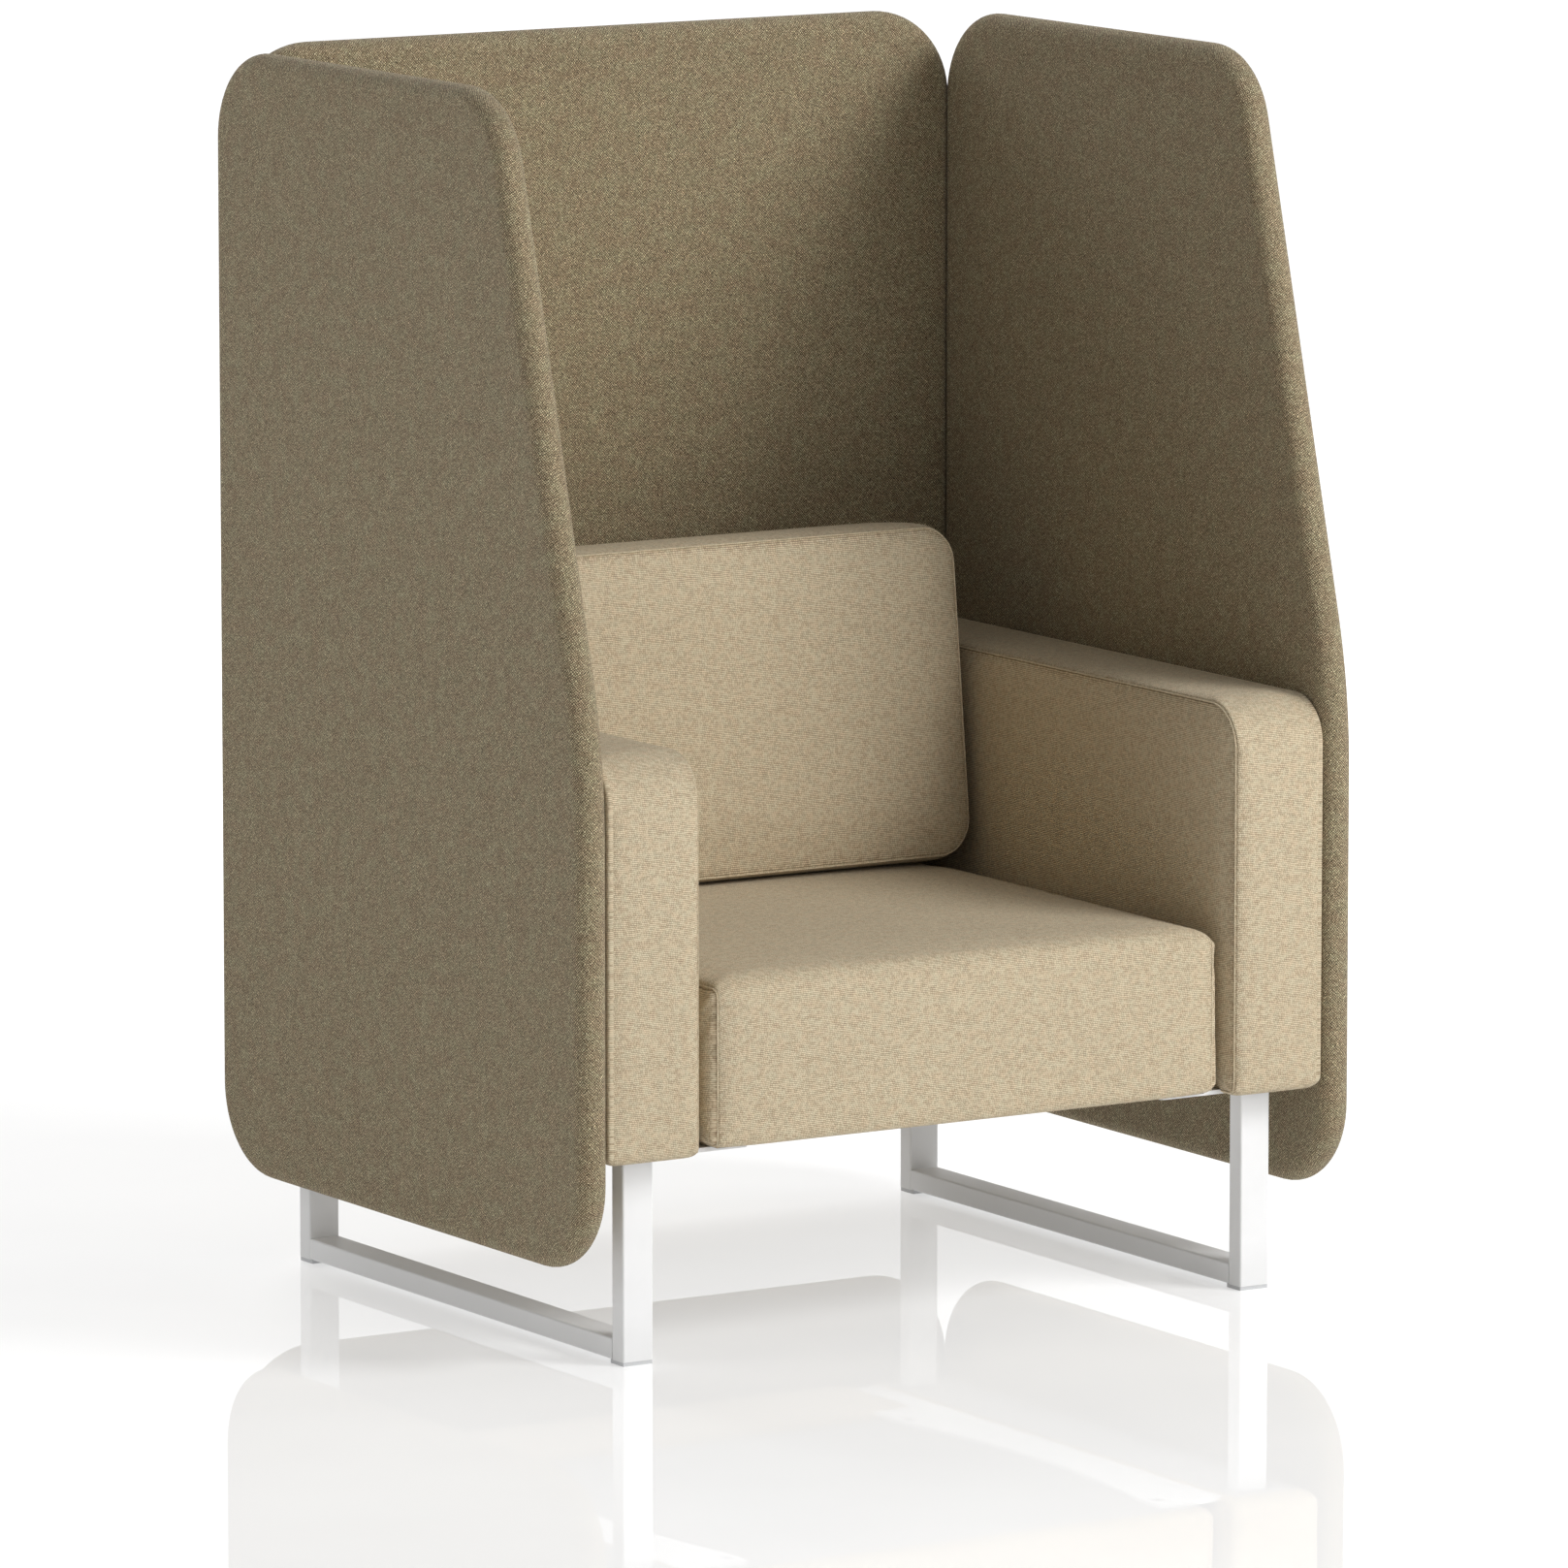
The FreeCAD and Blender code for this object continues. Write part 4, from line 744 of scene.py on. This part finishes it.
def strip(xs, ys, height, sag, openings=()):
    """The grid z = height + sag * (1 - a^2)(1 - b^2) over x and y, where a and b run from -1 to 1, without
    the cells whose middle lies in an opening."""
    x, y = np.meshgrid(xs, ys)
    a = 2 * (x - xs[0]) / (xs[-1] - xs[0]) - 1
    b = 2 * (y - ys[0]) / (ys[-1] - ys[0]) - 1
    points = np.stack([x, y, height + sag * (1 - a ** 2) * (1 - b ** 2)], axis=-1)
    quads = cell_corners(np.arange(x.size).reshape(x.shape)).reshape(-1, 4)
    flat = points.reshape(-1, 3)
    middle = flat[quads].mean(axis=1)
    keep = np.ones(len(quads), bool)
    for x0, x1, y0, y1 in openings:
        keep &= ~((middle[:, 0] > x0) & (middle[:, 0] < x1) & (middle[:, 1] > y0) & (middle[:, 1] < y1))
    used, quads = np.unique(quads[keep], return_inverse=True)
    quads = quads.reshape(-1, 4)
    return {"points": flat[used] * MM, "quads": quads, "weave": flat[used][quads][..., :2] * MM}


def thicken(piece, thickness):
    """Solidify with an even wall on the upper side."""
    wall = piece.modifiers.new("wall", "SOLIDIFY")
    wall.thickness = thickness
    wall.offset = 1


print("a dust cloth is", CLOTH_THICKNESS / MM, "mm thick and a strap", STRAP_THICKNESS / MM, "mm")

# %% Bottom cloths
GRID_STEP = 14
CLOTH_LIFT = 0.1
LEG_CLEARANCE = 3

low, high = limits("seat_bottom_cloth")
sheet = strip(lines_through(low[0], high[0], GRID_STEP), lines_through(low[1], high[1], GRID_STEP),
              low[2] + CLOTH_LIFT, 0)
piece = make_piece("seat_underside_cloth", sheet, "bottom_cloth")
thicken(piece, CLOTH_THICKNESS)
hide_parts("seat_bottom_cloth")
for side in ("right", "left"):
    low, high = limits(side + "_arm_bottom_cloth")
    legs = [limits(side + name) for name in ("_front_leg", "_rear_leg")]
    openings = [(leg[0][0] - LEG_CLEARANCE, leg[1][0] + LEG_CLEARANCE,
                 leg[0][1] - LEG_CLEARANCE, leg[1][1] + LEG_CLEARANCE) for leg in legs]
    xs = lines_through(low[0], high[0], GRID_STEP, [edge for hole in openings for edge in hole[:2]])
    ys = lines_through(low[1], high[1], GRID_STEP, [edge for hole in openings for edge in hole[2:]])
    sheet = strip(xs, ys, low[2] + CLOTH_LIFT, 0, openings)
    piece = make_piece(side + "_arm_underside_cloth", sheet, "bottom_cloth")
    thicken(piece, CLOTH_THICKNESS)
    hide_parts(side + "_arm_bottom_cloth")
    cut = (high[0] - low[0]) * (high[1] - low[1])
    cut -= sum((hole[1] - hole[0]) * (hole[3] - hole[2]) for hole in openings)
    cut * MM * MM

# %% Webbing straps
STRAP_WIDTH = 50
STRAP_COUNT = 6
STRAP_SAG = 5
STRAP_GRID = (10, 20)

low, high = limits("seat_webbing")
pitch = (high[0] - low[0] - STRAP_WIDTH) / (STRAP_COUNT - 1)
ys = lines_through(low[1], high[1], STRAP_GRID[1])
straps = []
for left in low[0] + pitch * np.arange(STRAP_COUNT):
    xs = lines_through(left, left + STRAP_WIDTH, STRAP_GRID[0])
    straps.append(strip(xs, ys, high[2] - STRAP_THICKNESS / MM, -STRAP_SAG))
piece = make_piece("seat_straps", joined(straps), "webbing")
thicken(piece, STRAP_THICKNESS)
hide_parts("seat_webbing")

# %% [markdown]
# ## Writing materials as sums
# A procedural finish is mostly arithmetic on positions: which thread is this, how far across it, is it on
# top. Placing Math nodes by hand hides that arithmetic, so a small class wraps a node's output and turns
# Python's operators into Math nodes. One method adds any other node, and a few short ones name the nodes
# that are used most.

# %% Node arithmetic
class Shade:
    """One output socket of a material's nodes."""

    def __init__(self, tree, socket=None):
        self.tree = tree
        self.socket = socket

    def node(self, kind, settings=None, inputs=None, output=0):
        """Add a node: its settings are set first, then its sockets are given numbers or links."""
        made = self.tree.nodes.new(kind)
        for name, value in (settings or {}).items():
            if name == "stops":
                ramp = made.color_ramp.elements
                for k, (place, colour) in enumerate(value):
                    stop = ramp[k] if k < 2 else ramp.new(place)
                    stop.position, stop.color = place, (*colour, 1)
            else:
                setattr(made, name, value)
        for name, value in (inputs or {}).items():
            if isinstance(value, Shade):
                self.tree.links.new(value.socket, made.inputs[name])
            else:
                made.inputs[name].default_value = value
        return Shade(self.tree, made.outputs[output])

    def out(self, name):
        """Another output of the same node."""
        return Shade(self.tree, self.socket.node.outputs[name])

    def on_piece(self):
        """The place on the piece, in metres."""
        return self.node("ShaderNodeTexCoord", None, None, "Object")

    def on_cloth(self):
        """The place on the flat cloth, in metres."""
        return self.node("ShaderNodeUVMap", {"uv_map": "weave"})

    def split(self):
        """The three numbers of a place, as outputs X, Y and Z."""
        return self.node("ShaderNodeSeparateXYZ", None, {"Vector": self})

    def noise(self, scale, detail=2.0, distortion=0.0, dimensions="3D", output=0):
        """Soft noise over a place."""
        return self.node("ShaderNodeTexNoise", {"noise_dimensions": dimensions},
                         {"Vector": self, "Scale": scale, "Detail": detail, "Distortion": distortion}, output)

    def math(self, operation, *terms):
        return self.node("ShaderNodeMath", {"operation": operation}, dict(enumerate(terms)))

    def tint(self, first, second):
        """Two colours multiplied."""
        settings = {"data_type": "RGBA", "blend_type": "MULTIPLY"}
        return self.node("ShaderNodeMix", settings, {0: 1.0, 6: first, 7: second}, 2)

    def ramp(self, *stops):
        return self.node("ShaderNodeValToRGB", {"stops": stops}, {"Fac": self})

    def grey(self):
        """The value as a colour."""
        return self.node("ShaderNodeCombineColor", None, {0: self, 1: self, 2: self})

    def floor(self):
        return self.math("FLOOR", self)

    def fraction(self):
        return self.math("FRACT", self)

    def hump(self):
        """1 - (2t - 1)^2: nothing at 0 and 1, one half way."""
        centred = self * 2 - 1
        return 1 - centred * centred

    def __add__(self, other):
        return self.math("ADD", self, other)

    def __sub__(self, other):
        return self.math("SUBTRACT", self, other)

    def __rsub__(self, other):
        return self.math("SUBTRACT", other, self)

    def __mul__(self, other):
        return self.math("MULTIPLY", self, other)

    def __truediv__(self, other):
        return self.math("DIVIDE", self, other)

    __radd__ = __add__
    __rmul__ = __mul__


print("operators that become Math nodes: + - * /")


# %% Finish helpers
def linear(red, green, blue):
    """A colour as a display shows it, from 0 to 255, turned into light: ((c + 0.055) / 1.055)^2.4."""
    return tuple(((np.array((red, green, blue)) / 255 + 0.055) / 1.055) ** 2.4)


finishes = {}


def new_finish(slot, name, **constants):
    """A material with one Principled shader, kept under its slot. Constants go on the shader's sockets."""
    material = bpy.data.materials.new(name)
    material.use_nodes = True
    finishes[slot] = material
    shader = material.node_tree.nodes["Principled BSDF"]
    for socket, value in constants.items():
        shader.inputs[socket.replace("_", " ")].default_value = value
    return Shade(material.node_tree)


def connect(base, sockets, strength=None, height=None, distance=None):
    """Feed the shader's sockets, and a bump of the given height, strength and depth."""
    shader = base.tree.nodes["Principled BSDF"]
    for name, value in sockets.items():
        base.tree.links.new(value.socket, shader.inputs[name])
    if height is not None:
        inputs = {"Strength": strength, "Distance": distance, "Height": height}
        bump = base.node("ShaderNodeBump", None, inputs)
        base.tree.links.new(bump.socket, shader.inputs["Normal"])


print("middle grey on a display is", round(linear(128, 128, 128)[0], 3), "of full light")

# %% [markdown]
# ## Screen cloth
# The screens wear a plain weave of thick yarns in several browns: light threads cross dark ones like a
# chequer board, and each crossing has its own shade. A photograph of cloth tiled over the screen would show
# its repeat. Here each crossing gets a number of its own from white noise, and the height of the two
# threads over each other gives the bump. Noise also shifts the threads a little, as in real cloth, so that
# the rows don't beat against the pixels of a distant view.

# %% Screen cloth finish
SCREEN_YARN = 1.6 * MM
SCREEN_SLIP = 1.6

base = new_finish("screen_fabric", "screen_cloth", Roughness=0.92, Sheen_Weight=0.12, Sheen_Roughness=0.5,
                  Specular_IOR_Level=0.2)
flat = base.on_cloth()
place = flat.split()
slip = flat.noise(210.0, 1.0, dimensions="2D", output="Color").split()
u = place.out("X") / SCREEN_YARN + slip.out("X") * SCREEN_SLIP
v = place.out("Y") / SCREEN_YARN + slip.out("Y") * SCREEN_SLIP
thread = base.node("ShaderNodeCombineXYZ", None, {"X": u.floor(), "Y": v.floor()})
own = base.node("ShaderNodeTexWhiteNoise", {"noise_dimensions": "2D"}, {"Vector": thread})
over = ((u.floor() + v.floor()) * 0.5).fraction() * 2
weft = v.fraction().hump() * (0.5 + 0.5 * u.fraction().hump())
warp = u.fraction().hump() * (0.5 + 0.5 * v.fraction().hump())
height = over * weft + (1 - over) * warp
drift = flat.noise(45.0, dimensions="2D")
shade = 0.02 + 0.46 * over + own * 0.26 + (height - 0.5) * 0.34 + (drift - 0.5) * 0.06
yarn = shade.ramp((0.0, linear(55, 45, 33)), (0.35, linear(122, 107, 84)), (0.65, linear(192, 174, 141)),
                  (0.95, linear(254, 243, 207)))
cast = drift.ramp((0.3, linear(255, 250, 246)), (0.7, linear(250, 255, 250)))
connect(base, {"Base Color": base.tint(yarn, cast)}, 0.8, height, 0.7 * MM)
print("screen yarns are", SCREEN_YARN / MM, "mm wide")

# %% [markdown]
# ## Seat cloth
# The seat, the arms and the cushion wear a paler cloth with a ribbed look: rows of short dashes run across,
# light over a darker ground, and the colour turns faintly warmer and cooler over the cloth. Rows and dashes
# are cells again, but each row's dashes have their own lengths and start at their own place.

# %% Seat cloth finish
SEAT_ROW = 2.1 * MM
SEAT_DASH = 3.2 * MM
ROW_SHIFT = 17

base = new_finish("seat_fabric", "seat_cloth", Roughness=0.9, Sheen_Weight=0.1, Sheen_Roughness=0.5,
                  Specular_IOR_Level=0.2)
flat = base.on_cloth()
place = flat.split()
wander = flat.noise(70.0, 1.0, dimensions="2D")
v = place.out("Y") / SEAT_ROW + wander * 0.5
row = v.floor()
row_own = base.node("ShaderNodeTexWhiteNoise", {"noise_dimensions": "1D"}, {"W": row})
u = place.out("X") / SEAT_DASH * (0.8 + 0.5 * row_own) + row_own * ROW_SHIFT + wander * 0.4
dash = base.node("ShaderNodeCombineXYZ", None, {"X": u.floor(), "Y": row})
own = base.node("ShaderNodeTexWhiteNoise", {"noise_dimensions": "2D"}, {"Vector": dash})
height = v.fraction().hump() * (0.5 + 0.5 * u.fraction().hump())
blotch = flat.noise(90.0, dimensions="2D")
# painted shade: the cloth's colour is darkened along the seams, where the groove would lie in shade
seam = base.node("ShaderNodeAttribute", {"attribute_name": "near_seam"}, None, 2)
shade = 0.02 + height * 0.9 + own * 0.38 + (blotch - 0.5) * 0.06 - seam * 0.3
yarn = shade.ramp((0.0, linear(113, 97, 74)), (0.5, linear(179, 162, 135)), (1.0, linear(222, 208, 180)))
cast = blotch.ramp((0.3, linear(255, 250, 246)), (0.7, linear(252, 255, 254)))
connect(base, {"Base Color": base.tint(yarn, cast)}, 0.7, height, 0.6 * MM)
print("rows of the seat cloth are", SEAT_ROW / MM, "mm apart")

# %% [markdown]
# ## Steel, plastic and the hidden stuff
# The sled frames are rectangular steel tube in a satin white powder coat: a fine orange-peel skin, slightly
# duller near the floor, where shoes and brooms scuff it. The glides are grey plastic, the bolts zinc. The
# boards, the webbing and the dust cloth hardly show, but each still gets its own grain or weave.

# %% Powder coat, plastic and zinc
SCUFF_HEIGHT = 60 * MM

base = new_finish("powder_coat", "white_powder_coat", Specular_IOR_Level=0.5)
spot = base.on_piece()
peel = spot.noise(850.0)
cloud = spot.noise(14.0, 3.0)
foot = base.node("ShaderNodeMapRange", None,
                 {"Value": spot.split().out("Z"), "From Min": SCUFF_HEIGHT, "From Max": 0.0})
scuff = foot * cloud
coat = (cloud * 0.5 + 0.5 - scuff * 0.6).ramp((0.2, linear(226, 226, 225)), (0.8, linear(243, 243, 243)))
dullness = 0.34 + peel * 0.12 + scuff * 0.25
connect(base, {"Base Color": coat, "Roughness": dullness}, 0.08, peel, 0.3 * MM)

base = new_finish("glides", "glide_plastic", Specular_IOR_Level=0.4)
grain = base.on_piece().noise(1400.0)
plastic = grain.ramp((0.3, linear(196, 197, 198)), (0.7, linear(212, 213, 214)))
connect(base, {"Base Color": plastic, "Roughness": 0.45 + grain * 0.2}, 0.15, grain, 0.2 * MM)

base = new_finish("fasteners", "zinc_steel")
crystal = base.node("ShaderNodeTexVoronoi", None, {"Vector": base.on_piece(), "Scale": 420.0}, "Color")
plating = base.node("ShaderNodeSeparateColor", None, {"Color": crystal})
zinc = plating.ramp((0.0, linear(168, 170, 172)), (1.0, linear(203, 204, 205)))
sockets = {"Base Color": zinc, "Roughness": 0.28 + plating * 0.16, "Metallic": 0.9 + plating * 0.1}
connect(base, sockets, 0.1, plating, 0.1 * MM)
print("hard finishes made")

# %% Timber and foam
base = new_finish("timber", "birch_plywood", Specular_IOR_Level=0.3)
drawn = base.node("ShaderNodeMapping", None, {"Vector": base.on_piece(), "Scale": (9.0, 1.2, 9.0)})
figure = drawn.noise(9.0, 6.0, 0.8)
pores = drawn.noise(120.0)
wood = (figure * 0.8 + pores * 0.2).ramp((0.3, linear(176, 138, 92)), (0.5, linear(212, 178, 130)),
                                         (0.7, linear(226, 198, 154)))
connect(base, {"Base Color": wood, "Roughness": 0.5 + pores * 0.25}, 0.2, pores, 0.3 * MM)

base = new_finish("foam", "cream_foam", Roughness=0.95, Specular_IOR_Level=0.1)
cells = base.node("ShaderNodeTexVoronoi", None, {"Vector": base.on_piece(), "Scale": 900.0})
cream = cells.ramp((0.0, linear(196, 184, 150)), (0.8, linear(240, 232, 206)))
connect(base, {"Base Color": cream}, 0.6, cells, 0.5 * MM)
print("hidden finishes: timber and foam")

# %% Webbing and dust cloth
WEBBING_YARN = 1.6 * MM

base = new_finish("webbing", "elastic_webbing", Roughness=0.85, Specular_IOR_Level=0.2)
place = base.on_cloth().split()
u, v = place.out("X") / WEBBING_YARN, place.out("Y") / WEBBING_YARN
over = ((u.floor() + v.floor()) * 0.5).fraction() * 2
height = over * v.fraction().hump() + (1 - over) * u.fraction().hump()
strap = height.ramp((0.0, linear(40, 38, 36)), (1.0, linear(92, 86, 78)))
connect(base, {"Base Color": strap}, 0.7, height, 0.5 * MM)

base = new_finish("bottom_cloth", "dust_cloth", Roughness=0.95, Specular_IOR_Level=0.1)
flat = base.on_cloth()
fibre = flat.noise(600.0, 4.0, 2.0, dimensions="2D")
dots = base.node("ShaderNodeTexVoronoi", {"voronoi_dimensions": "2D"},
                 {"Vector": flat, "Scale": 500.0, "Randomness": 0.2})
felt = (fibre * 0.7 + dots * 0.3).ramp((0.2, linear(150, 147, 142)), (0.8, linear(204, 200, 193)))
connect(base, {"Base Color": felt}, 0.5, fibre + dots * 0.5, 0.3 * MM)
print("finishes:", ", ".join(sorted(finishes)))

# %% [markdown]
# ## Putting the finishes on
# Each node of the solid model names its material slot in the record, and each new piece named its slot when
# it was made, so one pass over both gives every surface its finish.

# %% Assign the finishes
def dress(piece, finish):
    """One material on the whole piece."""
    piece.data.materials.clear()
    piece.data.materials.append(finish)


for subpart in frame["record"]["subparts"]:
    dress(frame["nodes"][subpart["node"]], finishes[subpart["material_slot"]])
new_pieces = [piece for piece in scene.objects if "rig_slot" in piece]
for piece in new_pieces:
    dress(piece, finishes[piece["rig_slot"]])
print(len(frame["nodes"]), "nodes and", len(new_pieces), "new pieces dressed")

# %% [markdown]
# ## Floor, light and background
# The sofa stands in a white studio, on a polished white floor that mirrors it faintly: a dull ground under a
# clear coat. A key lamp stands high at the front right, a weaker one lower in front, three faint ones at the
# sides and one behind, and an even glow fills the rest. Raising the lamps until the floor turns white would
# burn out the pale cloth, so the floor and the background get their white only where the camera, or a
# reflection, looks at them. Near the sofa the floor glows less, so that its shadow stays: this also paints
# a broad, soft shade on the floor round the sofa.

# %% Floor
FLOOR_SIZE = 40
FLOOR_GLOW = 0.3
FLOOR_SEEN_GLOW = 0.5
# metres from the middle of the sofa between which the glow rises to white; inside them the floor is painted
# darker, as shade round the sofa
FLOOR_PAINTED_SHADE_REACH = (1.8, 3.6)


def looked_at(base):
    """1 for the camera, a reflection or glass that looks there, 0 for the light that goes on to the sofa."""
    ray = base.node("ShaderNodeLightPath")
    seen = base.math("MAXIMUM", ray.out("Is Camera Ray"), ray.out("Is Glossy Ray"))
    return base.math("MAXIMUM", seen, ray.out("Is Transmission Ray"))


base = new_finish("floor", "studio_floor", Roughness=1, Specular_IOR_Level=0, Coat_Weight=0.78,
                  Coat_IOR=1.5, Coat_Roughness=0, Emission_Strength=1)
spot = base.on_piece()
away = base.node("ShaderNodeVectorMath", {"operation": "LENGTH"}, {"Vector": spot}, "Value")
# painted shade: close to the sofa the floor's glow stays low, so the floor round it is darker
far = base.node("ShaderNodeMapRange", {"interpolation_type": "SMOOTHSTEP"},
                {"Value": away, "From Min": FLOOR_PAINTED_SHADE_REACH[0], "From Max": FLOOR_PAINTED_SHADE_REACH[1]})
white = FLOOR_SEEN_GLOW + far * (1 - FLOOR_SEEN_GLOW)
glow = FLOOR_GLOW + looked_at(base) * (white - FLOOR_GLOW)
ground = spot.noise(3.0).ramp((0.2, (0.73, 0.73, 0.73)), (0.8, (0.77, 0.77, 0.77)))
connect(base, {"Base Color": ground, "Emission Color": glow.grey()})
corners = rectangle((-FLOOR_SIZE / 2, -FLOOR_SIZE / 2), (FLOOR_SIZE / 2, FLOOR_SIZE / 2))
floor = new_object("floor", [(*corner, 0) for corner in corners], [(0, 1, 2, 3)])
dress(floor, finishes["floor"])
print("floor", FLOOR_SIZE, "m across")

# %% Lamps and background
FILL_LEVEL = 0.21
LAMP_DISTANCE = 7
LAMP_AIM = 0.7
# azimuth from the front towards the right and elevation in degrees, width in metres, and the share of full
# light that the lamp gives a surface that faces it
LAMPS = {"key_lamp": (37, 34, 3.0, 0.58), "front_lamp": (14, 14, 3.0, 0.21),
         "left_low_lamp": (-103, 12, 2.6, 0.07), "left_high_lamp": (-92, 32, 3.2, 0.07),
         "right_lamp": (85, 32, 2.6, 0.08), "rear_lamp": (180, 35, 4.0, 0.4)}

world = bpy.data.worlds.new("studio")
world.use_nodes = True
scene.world = world
base = Shade(world.node_tree)
level = FILL_LEVEL + looked_at(base) * (1 - FILL_LEVEL)
backdrop = world.node_tree.nodes["Background"]
world.node_tree.links.new(level.socket, backdrop.inputs["Strength"])
backdrop.inputs["Color"].default_value = (1, 1, 1, 1)

for name, (azimuth, elevation, size, share) in LAMPS.items():
    azimuth, elevation = np.radians((azimuth, elevation))
    lamp = bpy.data.lights.new(name, "AREA")
    lamp.shape = "DISK"
    lamp.size = size
    lamp.energy = share * (np.pi * LAMP_DISTANCE) ** 2
    holder = bpy.data.objects.new(name, lamp)
    toward = np.array((np.sin(azimuth), -np.cos(azimuth), np.tan(elevation))) * np.cos(elevation)
    holder.location = toward * LAMP_DISTANCE + (0, 0, LAMP_AIM)
    holder.rotation_euler = (np.pi / 2 - elevation, 0, azimuth)
    holder.visible_camera = False
    scene.collection.objects.link(holder)
scene.view_settings.view_transform = "Standard"
# with its guide images left unfiltered, the denoiser keeps the fine weave
scene.cycles.denoising_prefilter = "NONE"
print("lamps:", ", ".join(LAMPS), "and a fill of", FILL_LEVEL)
